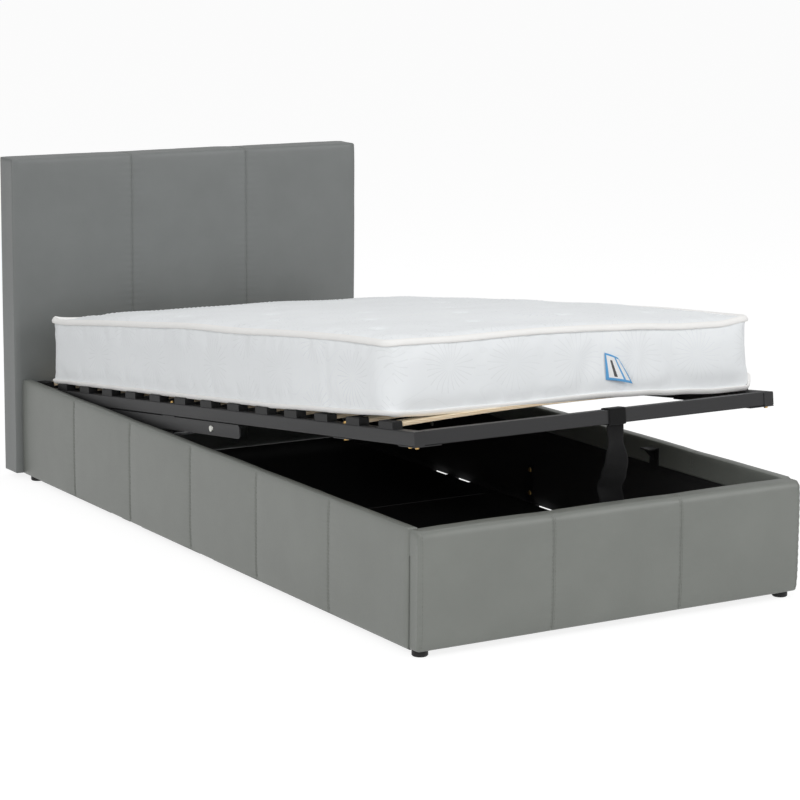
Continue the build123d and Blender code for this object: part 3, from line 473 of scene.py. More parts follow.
def sheet_mesh(name, columns, rows, thickness, place):
    """A thin closed sheet of quads, from a function that places shares of its width and height."""
    spots = [(row, column) for row in range(rows + 1) for column in range(columns + 1)]
    grid = {(row, column): place(column / columns, row / rows) for row, column in spots}

    def normal(row, column):
        across = grid[row, min(column + 1, columns)] - grid[row, max(column - 1, 0)]
        up = grid[min(row + 1, rows), column] - grid[max(row - 1, 0), column]
        return across.cross(up).normalized()

    def number(row, column, back=0):
        return row * (columns + 1) + column + back * len(spots)

    corners = [
        grid[spot] + normal(*spot) * thickness * half for half in (0.5, -0.5) for spot in spots
    ]
    faces = []
    for row in range(rows):
        for column in range(columns):
            turn = ((row, column), (row, column + 1), (row + 1, column + 1), (row + 1, column))
            faces.append(tuple(number(*spot) for spot in turn))
            faces.append(tuple(number(*spot, 1) for spot in reversed(turn)))
    rim = [(0, column) for column in range(columns)] + [(row, columns) for row in range(rows)]
    rim += [(rows, column) for column in range(columns, 0, -1)]
    rim += [(row, 0) for row in range(rows, 0, -1)]
    for here, near in zip(rim, rim[1:] + rim[:1]):
        faces.append((number(*here), number(*here, 1), number(*near, 1), number(*near)))
    return made_mesh(name, corners, faces)


# Padded covers of the base and the headboard
SEAM_DEPTH = 0.0020
SEAM_WIDTH = 0.0011
PUFF = 0.0022
PUFF_REACH = 0.035
PUCKER = 0.0005
PUCKER_PITCH = 0.017
PUCKER_REACH = 0.016
WRINKLE = 0.0009
EDGE_BULGE = 0.0028
EDGE_REACH = 0.02
FOOT_BULGE = 0.0055
INNER_RADIUS = 0.003
INNER_DEPTH = 0.001
END_RADIUS = 0.002
END_PRESS = 0.0025
ALONG_STEP = 0.014
THIN_STEP = 0.011
UP_STEP = 0.0045
SEAM_SPACING = (0.0064, 0.0008)
BORDER_SPACING = (0.004, 0.001)
RECESS_STEP = 0.0002


def seam_relief(reach, run):
    """How far a padded cover stands out at a distance from a seam and a place along it."""
    groove = SEAM_DEPTH * math.exp(-((reach / SEAM_WIDTH) ** 2))
    puff = PUFF * (1 - math.exp(-reach / PUFF_REACH))
    pucker = PUCKER * math.sin(math.tau * run / PUCKER_PITCH) * math.exp(-reach / PUCKER_REACH)
    return puff - groove + pucker


def cloth_relief(point):
    """Slow waves and small wrinkles of a cover over its padding."""
    slow = noise.noise(point * 5.0) * WRINKLE
    small = noise.noise(Vector((point.x * 28, point.y * 28, point.z * 11))) * WRINKLE * 0.35
    return slow + small


def padded_cover(node, face, axis, seams, radii, border=None, recess=None, bulge=EDGE_BULGE):
    """The shape and stations of a padded cover over a board.

    The seams cross an axis of the outer face, which looks to the side that face names.
    A border is a seam round the ends and the top, behind the outer face by a distance.
    A recess is where the inner face steps back, and the height below which it does.
    """
    low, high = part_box(node)
    bottom, edge, top = radii
    low_radii = Vector((edge, edge, bottom))
    high_radii = Vector((edge, edge, top))
    inner_radii = high_radii if face < 0 else low_radii
    inner_radii[1 - axis] = INNER_RADIUS
    thin = 1 - axis
    outer_place = high[thin] if face > 0 else low[thin]
    border_place = outer_place - face * border if border else None
    border_stops = (border_place,) if border else ()
    stations = [None, None, edge_stops(low.z, high.z, bottom, top, UP_STEP)]
    for way, step, fine, spacing in (
        (axis, ALONG_STEP, seams, SEAM_SPACING),
        (thin, THIN_STEP, border_stops, BORDER_SPACING),
    ):
        stations[way] = edge_stops(low[way], high[way], edge, edge, step, fine, *spacing)
    if recess:
        stations[2] = sorted(set(stations[2]) | {recess[1], recess[1] - RECESS_STEP})

    def shape(point):
        moved, outward = rounded(point, low, high, low_radii, high_radii)
        facing = outward[thin] * face
        if recess and facing < -0.2 and point.z < recess[1] - RECESS_STEP / 2:
            moved[thin] = recess[0]
            return moved
        reach = min(abs(moved[axis] - seam) for seam in seams)
        if border and facing < 0.7:
            reach = min(reach, abs(moved[thin] - border_place))
        below_top = 1 - math.exp(-max(0.0, high.z - moved.z) / EDGE_REACH)
        above_foot = 1 - math.exp(-max(0.0, moved.z - low.z) / EDGE_REACH)
        if facing < 0 and outward[axis]:
            end = high[axis] if outward[axis] > 0 else low[axis]
            inset = INNER_RADIUS * (1 - abs(outward[axis]))
            moved[axis] = end - math.copysign(inset, outward[axis])
        stand = seam_relief(reach, moved.z + moved[thin]) + cloth_relief(moved) - SEAM_DEPTH
        if facing > 0:
            stand += bulge * below_top * above_foot * facing
        else:
            stand = max(stand, -INNER_DEPTH)
        if abs(outward[axis]) > 0.7 and edge <= END_RADIUS:
            stand = END_PRESS
        hidden = max(0.0, -facing, -outward.z)
        return moved + outward * stand * (1 - hidden)

    return shape, stations, (low, high)


# Stitches: short threads along a path over a cover
STITCH_PITCH = 0.0075
STITCH_LENGTH = 0.0052
STITCH_RADIUS = 0.0004
STITCH_SIDES = 6
STITCH_OFFSET = 0.0038
SEAM_PATH_STEP = 0.0013


def add_stitch(corners, faces, start, end, outward):
    """One stitch as a small six-sided spindle that lies on the cover."""
    run = (end - start).normalized()
    side = run.cross(outward).normalized()
    out = side.cross(run).normalized()
    first = len(corners)
    for share, swell in ((0.0, 0.55), (0.3, 1.0), (0.7, 1.0), (1.0, 0.55)):
        middle = start.lerp(end, share) + out * STITCH_RADIUS * 0.5
        for number in range(STITCH_SIDES):
            turn = math.tau * number / STITCH_SIDES
            ring = (side * math.cos(turn) + out * math.sin(turn)) * STITCH_RADIUS * swell
            corners.append(middle + ring)
    for ring in range(3):
        for number in range(STITCH_SIDES):
            here = first + ring * STITCH_SIDES + number
            near = first + ring * STITCH_SIDES + (number + 1) % STITCH_SIDES
            faces.append((here, near, near + STITCH_SIDES, here + STITCH_SIDES))
    faces.append(tuple(first + number for number in reversed(range(STITCH_SIDES))))
    faces.append(tuple(first + 3 * STITCH_SIDES + number for number in range(STITCH_SIDES)))


def stitch_path(corners, faces, path):
    """Stitches a pitch apart along a path of close points, each pair with its outward direction."""
    travelled, begun = 0.0, None
    for (last, _), (point, away) in zip(path, path[1:]):
        travelled += (point - last).length
        if begun is None and travelled >= STITCH_PITCH - STITCH_LENGTH:
            begun = point
        elif begun is not None and (point - begun).length >= STITCH_LENGTH:
            add_stitch(corners, faces, begun, point, away)
            travelled, begun = 0.0, None


def seam_path(cover, face, axis, place, flap_low):
    """Close points over a cover along a seam: up the outer face, over the top, down the flap."""
    shape, _, (low, high) = cover
    thin = 1 - axis
    outer = high[thin] if face > 0 else low[thin]
    inner = low[thin] if face > 0 else high[thin]
    step = SEAM_PATH_STEP

    def at(across, height):
        spot = Vector((0, 0, height))
        spot[axis] = place
        spot[thin] = across
        return shape(spot)

    rise = round((high.z - low.z) / step)
    span = round(abs(inner - outer) / step)
    drop = round((high.z - flap_low) / step)
    outward = Vector((0, 0, 0))
    outward[thin] = face
    path = [(at(outer, low.z + step * number), outward) for number in range(4, rise)]
    up = Vector((0, 0, 1))
    path += [(at(outer + (inner - outer) * number / span, high.z), up) for number in range(span)]
    path += [(at(inner, high.z - step * number), -outward) for number in range(drop)]
    return path


SIDE_PANELS = 6
FOOT_PANELS = 3
HEADBOARD_PANELS = 3
SIDE_RADII = (0.003, 0.002, 0.011)
FOOT_RADII = (0.005, 0.008, 0.016)
HEADBOARD_RADII = (0.004, 0.006, 0.007)
CORNER_SEAM = 0.005
HEADBOARD_BORDER = 0.010
RECESS = 0.004
foot_low, foot_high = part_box("foot_cover")
head_low, head_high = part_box("headboard_cover")
flap_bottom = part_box("inner_lining")[1].z


def shares(low, high, count):
    """The places that divide a length into a number of equal panels."""
    return [low + (high - low) * number / count for number in range(1, count)]


def make_cover(name, material, face, axis, seams, radii, flap_low, end_seams=(), **form):
    """A cover in place of its CAD solid, with a row of stitches on each side of each seam.

    Each end seam is a place, and how far from it its single row of stitches lies.
    """
    all_seams = seams + [place for place, _ in end_seams]
    cover = padded_cover(f"{name}_cover", face, axis, all_seams, radii, **form)
    mesh = box_mesh(f"{name}_upholstery", cover[1], cover[0])
    piece = new_piece(f"{name}_upholstery", mesh, material, "base")
    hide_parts(f"{name}_cover")
    rows = [seam + offset for seam in seams for offset in (-STITCH_OFFSET, STITCH_OFFSET)]
    rows += [place + offset for place, offset in end_seams]
    corners, faces = [], []
    for row in rows:
        stitch_path(corners, faces, seam_path(cover, face, axis, row, flap_low))
    mesh = made_mesh(f"{name}_stitches", corners, faces)
    new_piece(f"{name}_stitches", mesh, thread, "base")


def make_covers():
    """The covers of both sides, of the foot with a seam inside each corner, and of the headboard."""
    seams = shares(foot_high.y, head_low.y, SIDE_PANELS)
    for side, name in ((-1, "left_side"), (1, "right_side")):
        board_low, board_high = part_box(f"{name}_board")
        board_inner = board_low.x if side > 0 else board_high.x
        recess = (board_inner + side * RECESS, flap_bottom)
        make_cover(name, leather, side, 1, seams, SIDE_RADII, flap_bottom, recess=recess)
    make_cover(
        "foot",
        leather,
        -1,
        0,
        shares(foot_low.x, foot_high.x, FOOT_PANELS),
        FOOT_RADII,
        flap_bottom,
        ((foot_low.x + CORNER_SEAM, STITCH_OFFSET), (foot_high.x - CORNER_SEAM, -STITCH_OFFSET)),
        recess=(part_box("foot_board")[1].y - RECESS, flap_bottom),
        bulge=FOOT_BULGE,
    )
    seams = shares(head_low.x, head_high.x, HEADBOARD_PANELS)
    make_cover(
        "headboard",
        headboard_leather,
        -1,
        0,
        seams,
        HEADBOARD_RADII,
        head_high.z,
        border=HEADBOARD_BORDER,
    )


make_covers()


# Black cloth inside the base, and stapled over the headboard's back
CLOTH_THICKNESS = 0.0008
CLOTH_WAVE = 0.0006
CLOTH_STEP = 0.02
CLOTH_ROWS = 8
LINING_GAP = 0.0001
STAPLE_LENGTH = 0.010
STAPLE_WIRE = 0.0006
STAPLE_PITCH = 0.065
STAPLE_INSET = 0.009
BOX_CORNERS = [
    (along, across, away)
    for away in (-1, 1)
    for along, across in ((-1, -1), (1, -1), (1, 1), (-1, 1))
]
BOX_QUADS = ((0, 3, 2, 1), (4, 5, 6, 7), (0, 1, 5, 4), (1, 2, 6, 5), (2, 3, 7, 6), (3, 0, 4, 7))


def stretched_cloth(name, node, stations):
    """A stretched cloth along a path of plan points."""
    low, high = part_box(node)
    rise = high.z - low.z
    columns = len(stations) - 1

    def place(across, up):
        spot, away = stations[round(across * columns)]
        wave = noise.noise(Vector((spot.x * 9, spot.y * 9, up * 2.5))) * CLOTH_WAVE
        plan = spot + away * wave * math.sin(math.pi * up)
        return Vector((plan.x, plan.y, low.z + rise * up))

    mesh = sheet_mesh(name, columns, CLOTH_ROWS, CLOTH_THICKNESS, place)
    piece = new_piece(name, mesh, black_cloth, "base")
    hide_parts(node)
    length = sum((far - near).length for (near, _), (far, _) in zip(stations, stations[1:]))


def make_staples(name, stations, low, high):
    """Staples along the top and bottom of a stretched cloth."""
    corners, faces, travelled = [], [], 0.0
    for (near, _), (far, away) in zip(stations, stations[1:]):
        travelled += (far - near).length
        if travelled < STAPLE_PITCH:
            continue
        travelled = 0.0
        run, out = (far - near).normalized().to_3d(), away.to_3d()
        up = run.cross(out)
        spot = near.lerp(far, 0.5) + away * (CLOTH_THICKNESS / 2 + STAPLE_WIRE / 2)
        for level in (low.z + STAPLE_INSET, high.z - STAPLE_INSET):
            faces += [tuple(len(corners) + number for number in quad) for quad in BOX_QUADS]
            corners += [
                Vector((spot.x, spot.y, level))
                + run * STAPLE_LENGTH / 2 * along
                + up * STAPLE_WIRE * across
                + out * STAPLE_WIRE / 2 * outer
                for along, across, outer in BOX_CORNERS
            ]
    new_piece(name, made_mesh(name, corners, faces), zinc, "base")


def walked(turns, away):
    """Close points along straight runs between turns, each with the outward direction of its run."""
    points = []
    for start, end, facing in zip(turns, turns[1:], away):
        steps = round((end - start).length / CLOTH_STEP)
        points += [(start.lerp(end, number / steps), facing) for number in range(steps)]
    return points + [(turns[-1], away[-1])]


def make_lining():
    """The lining as one strip of cloth: along the left board, across the foot and back."""
    low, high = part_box("inner_lining")
    half = CLOTH_THICKNESS / 2 + LINING_GAP
    left, right, foot = low.x + half, high.x - half, low.y + half
    turns = [Vector(spot) for spot in ((left, high.y), (left, foot), (right, foot), (right, high.y))]
    away = (Vector((1, 0)), Vector((0, 1)), Vector((-1, 0)))
    stretched_cloth("lining_cloth", "inner_lining", walked(turns, away))


def make_back_cloth():
    """The cloth stapled over the headboard's back, on the turned-over edges of its cover."""
    low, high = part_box("headboard_back_cloth")
    level = head_high.y + CLOTH_THICKNESS / 2 + CLOTH_WAVE
    stations = walked((Vector((high.x, level)), Vector((low.x, level))), (Vector((0, 1)),))
    stretched_cloth("headboard_cloth", "headboard_back_cloth", stations)
    make_staples("headboard_staples", stations, low, high)


make_lining()
make_back_cloth()


# Mattress, in the platform's own frame
mattress_box = deck_box("mattress")
CROWN = 0.013
LEFT_SPREAD = 0.0095
RIGHT_SPREAD = 0.0145
FOOT_INSET = 0.016
HEAD_INSET = 0.050
SKEW = -0.04
PLAN_RADIUS = 0.024
EDGE_RADIUS = 0.009
mattress_low = mattress_box[0] + Vector((-LEFT_SPREAD, FOOT_INSET, 0.003))
mattress_high = mattress_box[1] + Vector((RIGHT_SPREAD, -HEAD_INSET, -CROWN))
mattress_middle = (mattress_low + mattress_high) / 2
askew = Matrix(((1, 0, 0, 0), (SKEW, 1, 0, -SKEW * mattress_middle.x), (0, 0, 1, 0), (0, 0, 0, 1)))
mattress_frame = deck @ askew
CORNER_DIP = 0.005
CORNER_REACH = 0.10
BUMP = 0.014
BUMP_REACH = 0.035
EDGE_WAVE = 0.003
SIDE_WAIST = 0.004

# Across the foot the edges sag: places as shares of the half width, and drops in metres
TOP_SAG_SHARES = (-1.0, -0.6, -0.2, 0.05, 0.3, 0.6, 0.8, 1.0)
TOP_SAGS = (0.003, 0.009, 0.008, 0.009, 0.013, 0.020, 0.019, 0.008)
TOP_SAG_REACH = 0.27
HEAD_LEAN = 0.016
HEAD_LEAN_REACH = 0.25
HEAD_SAG = 0.008
HEAD_SAG_REACH = 0.35
RIGHT_SAG = 0.011
LOW_SAG_SHARES = (-1.0, -0.75, -0.4, 0.1, 0.35, 0.55, 0.8, 1.0)
LOW_SAGS = (0.002, 0.006, 0.008, 0.007, 0.011, 0.017, 0.0235, 0.024)
LOW_SAG_REACH = 0.014
SLAT_SAG = 0.010
SLAT_SAG_FADE = 0.5
SLAT_SAG_REACH = 0.04
MATTRESS_STEP = 0.017
BORDER_STEP = 0.012
TAPED_INSET = 0.02
TAPED_REACH = 0.0075


def smooth_between(places, values, place):
    """A value between listed ones, eased from each to the next."""
    if place <= places[0]:
        return values[0]
    for number in range(len(places) - 1):
        if place <= places[number + 1]:
            share = (place - places[number]) / (places[number + 1] - places[number])
            eased = share * share * (3 - 2 * share)
            return values[number] + (values[number + 1] - values[number]) * eased
    return values[-1]


def across_share(x):
    """A place across the mattress, from -1 at its left edge to 1 at its right."""
    return (x - mattress_middle.x) / (mattress_high.x - mattress_middle.x)


def corner_distance(x, along):
    """The distance in plan from a point to the mattress's nearest corner."""
    return math.hypot(
        min(abs(x - mattress_low.x), abs(x - mattress_high.x)),
        min(abs(along - mattress_low.y), abs(along - mattress_high.y)),
    )


def top_level(x, along):
    """How far the taped upper edge lies above its level."""
    dip = -CORNER_DIP * math.exp(-corner_distance(x, along) / CORNER_REACH)
    dip += BUMP * math.exp(-math.hypot(x - mattress_low.x, along - mattress_high.y) / BUMP_REACH)
    reach = math.exp(-(((along - mattress_low.y) / TOP_SAG_REACH) ** 2))
    share = across_share(x)
    sag = smooth_between(TOP_SAG_SHARES, TOP_SAGS, share) * reach
    from_head = (mattress_high.y - along) / HEAD_SAG_REACH
    sag += HEAD_SAG * math.exp(-(from_head**2)) + RIGHT_SAG * max(0.0, 0.5 + 0.5 * share)
    return dip - sag + noise.noise(Vector((x * 3.5, along * 3.5, 4.0))) * EDGE_WAVE


def low_level(x, along):
    """How far the taped lower edge lies above its level: at the foot it hangs past the slat."""
    hang = max(0.0, 1 - (along - mattress_low.y) / LOW_SAG_REACH)
    sag = smooth_between(LOW_SAG_SHARES, LOW_SAGS, across_share(x)) * hang * hang * (3 - 2 * hang)
    from_edge = min(x - mattress_low.x, mattress_high.x - x)
    faded = min(1.0, (along - mattress_low.y) / SLAT_SAG_FADE)
    sag += SLAT_SAG * math.exp(-((from_edge / SLAT_SAG_REACH) ** 2)) * faded
    return abs(noise.noise(Vector((x * 6, along * 6, 9.0)))) * EDGE_WAVE * (1 - hang) - sag


def head_lean(along):
    """How far the top has slid towards the foot at a place near the head."""
    return HEAD_LEAN * math.exp(-(mattress_high.y - along) / HEAD_LEAN_REACH)


def crown_height(x, along):
    """The rise of the mattress's top above its edges."""
    across = abs(across_share(x))
    run = abs(along - mattress_middle.y) / (mattress_high.y - mattress_middle.y)
    slow = noise.noise(Vector((x * 2.2, along * 2.2, 1.0))) * 0.002
    return (CROWN * 0.55 + slow) * (1 - min(1, across) ** 2.4) * (1 - min(1, run) ** 6)


def place_mattress(point):
    """A point of the mattress's box moved to its relaxed shape, before its cover is inflated."""
    plan = Vector((PLAN_RADIUS, PLAN_RADIUS, EDGE_RADIUS))
    moved, outward = rounded(point, mattress_low, mattress_high, plan, plan)
    share = (moved.z - mattress_low.z) / (mattress_high.z - mattress_low.z)
    level = low_level(moved.x, moved.y) * (1 - share) + top_level(moved.x, moved.y) * share
    moved.z += level
    moved.y -= head_lean(moved.y) * share
    if outward.z > 0.5:
        moved.z += crown_height(moved.x, moved.y)
    waist = SIDE_WAIST * math.sin(math.pi * min(1, max(0, share)))
    flat = Vector((outward.x, outward.y, 0))
    return moved - flat * waist


def taped_edge(point):
    """Whether a point of the finished mesh lies under the tape on an upper or lower edge."""
    plan = min(
        point.x - mattress_low.x,
        mattress_high.x - point.x,
        point.y - mattress_low.y,
        mattress_high.y - point.y,
    )
    high = mattress_high.z + top_level(point.x, point.y) - point.z
    low = point.z - mattress_low.z - low_level(point.x, point.y)
    return plan < TAPED_INSET and min(high, low) < TAPED_REACH


INFLATION = {
    "quality": 5,
    "mass": 0.3,
    "tension_stiffness": 12,
    "compression_stiffness": 12,
    "shear_stiffness": 6,
    "bending_stiffness": 0.6,
    "shrink_min": -0.012,
    "use_pressure": True,
    "uniform_pressure_force": 3.0,
    "vertex_group_mass": "held",
}
INFLATION_FRAMES = 20
SWELL_CAP = 0.012
SWELL_EASE = 1.6


def inflate(piece, held):
    """Let cloth with a little spare width swell under pressure, and keep each point within a cap."""
    start = [vertex.co.copy() for vertex in piece.data.vertices]
    group = piece.vertex_groups.new(name="held")
    group.add(held, 1.0, "REPLACE")
    cloth = piece.modifiers.new("cloth", "CLOTH")
    for name, value in INFLATION.items():
        setattr(cloth.settings, name, value)
    cloth.settings.effector_weights.gravity = 0.0
    cloth.collision_settings.use_self_collision = False
    cloth.point_cache.frame_end = INFLATION_FRAMES
    for number in range(1, INFLATION_FRAMES + 1):
        bpy.context.scene.frame_set(number)
    swollen = piece.evaluated_get(bpy.context.evaluated_depsgraph_get()).to_mesh()
    moves = [vertex.co - before for vertex, before in zip(swollen.vertices, start)]
    piece.modifiers.remove(cloth)
    bpy.context.scene.frame_set(1)
    for vertex, before, move in zip(piece.data.vertices, start, moves):
        vertex.co = before + move * (SWELL_CAP / max(SWELL_CAP, move.length * SWELL_EASE))
    piece.vertex_groups.remove(group)
    piece.data.update()


def subdivide(piece):
    """Subdivide a piece's mesh once, smoothly, and keep the result."""
    modifier = piece.modifiers.new("smooth", "SUBSURF")
    modifier.levels = modifier.render_levels = 1
    shown = piece.evaluated_get(bpy.context.evaluated_depsgraph_get())
    made = bpy.data.meshes.new_from_object(shown)
    piece.modifiers.remove(modifier)
    piece.data = made


def make_mattress():
    """The mattress's body: its cover is inflated between the taped edges, then finely puckered."""
    radii = (PLAN_RADIUS, PLAN_RADIUS, EDGE_RADIUS)
    steps = (MATTRESS_STEP, MATTRESS_STEP, BORDER_STEP)
    stations = [
        edge_stops(low, high, radius, radius, step)
        for low, high, radius, step in zip(mattress_low, mattress_high, radii, steps)
    ]
    mesh = box_mesh("mattress_body", stations, place_mattress)
    piece = new_piece("mattress_body", mesh, mattress_cloth, "platform")
    floor_level = mattress_low.z + EDGE_RADIUS * 0.5
    held = [
        vertex.index
        for vertex in mesh.vertices
        if taped_edge(vertex.co) or vertex.co.z < floor_level
    ]
    inflate(piece, held)
    subdivide(piece)
    vertices = piece.data.vertices
    puckered = [pucker_mattress(vertex.co.copy(), vertex.normal.copy()) for vertex in vertices]
    for vertex, point in zip(vertices, puckered):
        vertex.co = point
    piece.data.transform(mattress_frame)
    piece.data.polygons.foreach_set("use_smooth", [True] * len(piece.data.polygons))
    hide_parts("mattress")


BORDER_SEAM = 0.0715
PUCKER_RISE = 0.0011
PUCKER_RUN = 0.026
GATHER_REACH = 0.02
SEAM_PULL = 0.0022
SEAM_PULL_REACH = 0.006
BORDER_FACE = 0.012
FOLDS = ((0.036, 0.018, 0.0045), (0.142, 0.012, 0.003), (0.185, 0.016, 0.0025))
FOLD_SLANT = 0.03
TUFT_PITCH = 0.23
TUFT_DEPTH = 0.0045
TUFT_REACH = 0.016


def tuft_depth(point):
    """How deep a tuft in staggered rows draws the top in at a point."""
    row = math.floor(point.y / TUFT_PITCH)
    across = (point.x + TUFT_PITCH / 2 * (row % 2)) % TUFT_PITCH - TUFT_PITCH / 2
    along = point.y % TUFT_PITCH - TUFT_PITCH / 2
    return TUFT_DEPTH * math.exp(-((math.hypot(across, along) / TUFT_REACH) ** 2))


def pucker_mattress(point, normal):
    """A point moved for the small gathers beside the tape and the border's one upright seam."""
    edge = min(
        abs(mattress_high.z + top_level(point.x, point.y) - point.z),
        abs(point.z - mattress_low.z - low_level(point.x, point.y)),
    )
    run = point.x + point.y + noise.noise(point * 9.0) * 0.02
    gather = math.sin(math.tau * run / PUCKER_RUN) * math.exp(-edge / GATHER_REACH)
    slow = noise.noise(point * 7.0) * 0.0016 - tuft_depth(point) * max(0.0, normal.z)
    moved = point + normal * (PUCKER_RISE * gather + slow) * max(0.0, normal.z + 0.9)
    if point.y < mattress_low.y + BORDER_FACE:
        moved.y += SEAM_PULL * math.exp(-(((point.x - BORDER_SEAM) / SEAM_PULL_REACH) ** 2))
        rise = (point.z - mattress_low.z) / (mattress_high.z - mattress_low.z)
        for place, reach, depth in FOLDS:
            across = (point.x - place - FOLD_SLANT * (rise - 0.5)) / reach
            moved.y += depth * math.exp(-(across**2)) * math.sin(math.pi * min(1, max(0, rise)))
    return moved


TAPE_SECTION = 10
TAPE_HEIGHT = 0.0078
TAPE_DEPTH = 0.0042
TAPE_LEVEL = 0.0035
TAPE_INSET = 0.0012
TAPE_WOBBLE = 0.0011
TAPE_TILT = math.radians(38)
TAPE_STEP = 0.011


def plan_loop():
    """Points round the mattress's plan with round corners, each with its outward direction."""
    low = Vector((mattress_low.x + PLAN_RADIUS, mattress_low.y + PLAN_RADIUS))
    high = Vector((mattress_high.x - PLAN_RADIUS, mattress_high.y - PLAN_RADIUS))
    centres = [Vector(spot) for spot in (high, (low.x, high.y), low, (high.x, low.y))]
    loop = []
    for quarter, centre in enumerate(centres):
        for number in range(9):
            turn = math.pi / 2 * (quarter + number / 8)
            away = Vector((math.cos(turn), math.sin(turn)))
            loop.append((centre + away * PLAN_RADIUS, away))
        start, end = loop[-1][0], centres[(quarter + 1) % 4] + away * PLAN_RADIUS
        steps = round((end - start).length / TAPE_STEP)
        loop += [(start.lerp(end, number / steps), away) for number in range(1, steps)]
    return loop


def make_tape(name, upper):
    """The binding tape sewn round an edge of the mattress: a soft folded band with a wavy lie."""
    corners, faces = [], []
    loop = plan_loop()
    tilt = TAPE_TILT if upper else -TAPE_TILT
    for place, away in loop:
        if upper:
            level = mattress_high.z + top_level(place.x, place.y) - TAPE_LEVEL
        else:
            level = mattress_low.z + low_level(place.x, place.y) + TAPE_LEVEL
        wobble = noise.noise(Vector((place.x * 30, place.y * 30, 2.0 + upper))) * TAPE_WOBBLE
        slid = place.y - head_lean(place.y) * upper
        centre = Vector((place.x, slid, level)) - away.to_3d() * (TAPE_INSET - wobble)
        tall = Vector((away.x * -math.sin(tilt), away.y * -math.sin(tilt), math.cos(tilt)))
        deep = Vector((away.x * math.cos(tilt), away.y * math.cos(tilt), math.sin(tilt)))
        for number in range(TAPE_SECTION):
            turn = math.tau * number / TAPE_SECTION
            swell = 1 + 0.12 * math.sin(turn * 2)
            corners.append(
                centre
                + tall * math.cos(turn) * TAPE_HEIGHT * swell
                + deep * math.sin(turn) * TAPE_DEPTH
            )
    for number in range(len(loop)):
        for side in range(TAPE_SECTION):
            near = number * TAPE_SECTION
            far = (number + 1) % len(loop) * TAPE_SECTION
            after = (side + 1) % TAPE_SECTION
            faces.append((near + side, far + side, far + after, near + after))
    mesh = made_mesh(name, corners, faces)
    new_piece(name, mesh, tape_cloth, "platform", mattress_frame)


LABEL_WIDTH = 0.053
LABEL_HEIGHT = 0.058
LABEL_LEVEL = 0.029
LABEL_THICKNESS = 0.0006
LABEL_COLUMNS = 31
LABEL_ROWS = 40


def make_label():
    """A plain woven label sewn into the border's seam by one edge, which droops at the other."""
    columns, rows = LABEL_COLUMNS, LABEL_ROWS
    body = bpy.data.objects["mattress_body"].data
    tree = BVHTree.FromPolygons(
        [vertex.co for vertex in body.vertices], [face.vertices[:] for face in body.polygons]
    )
    inward = (mattress_frame.to_3x3() @ Vector((0, 1, 0))).normalized()
    back = mattress_frame.inverted()

    def face_place(x, height):
        start = mattress_frame @ Vector((x, mattress_low.y - 0.1, height))
        return (back @ tree.ray_cast(start, inward)[0]).y

    def place(across, up):
        lean = -0.022 * across * (up - 0.25) * 1.6
        droop = -0.009 * across - 0.004 * across**2
        curl = 0.001 + 0.011 * math.sin(across * 1.6) * (1.15 - 0.5 * up)
        ripple = 0.0012 * math.sin(across * 5.0 + up * 3.0)
        x = BORDER_SEAM + LABEL_WIDTH * across + lean
        height = mattress_low.z + LABEL_LEVEL + LABEL_HEIGHT * up + droop
        return Vector((x, face_place(x, height) - curl - ripple, height))

    mesh = sheet_mesh("mattress_label", columns, rows, LABEL_THICKNESS, place)
    piece = new_piece("mattress_label", mesh, label_white, "platform", mattress_frame)
    mesh.materials.append(label_blue)
    mesh.materials.append(label_grey)
    for number, face in enumerate(mesh.polygons):
        if number >= 2 * columns * rows:
            face.material_index = 1
            continue
        row, column = divmod(number // 2, columns)
        border = row < 4 or row >= rows - 3 or column < 3 or column >= columns - 2
        stripe = column in (20, 21, 22)
        bar = 9 <= column <= 12 and 6 <= row <= 30
        face.material_index = 1 if border or stripe else 2 if bar else 0


make_mattress()
make_tape("mattress_top_tape", True)
make_tape("mattress_bottom_tape", False)
make_label()


# Pull strap: webbing looped round the foot rail, with a tail that hangs in folds
STRAP_X = 0.041
STRAP_BAND = 0.043
STRAP_TAIL = 0.053
STRAP_THICKNESS = 0.0016
STRAP_GAP = 0.0012
STRAP_DROP = 0.178
STRAP_BEND = 0.004
STRAP_ROOT = 0.004
STRAP_STEPS = 60
STRAP_COLUMNS = 14
STRAP_SHARES = (0.0, 0.2, 0.42, 0.6, 0.76, 0.9, 1.0)
STRAP_PUSH = (0.0, -0.006, -0.014, -0.004, 0.008, 0.0, -0.006)
STRAP_SLIDE = (0.0, -0.002, -0.004, -0.004, -0.007, -0.006, -0.004)
STRAP_TURN = (0.0, 12.0, -16.0, -34.0, -40.0, -16.0, -6.0)


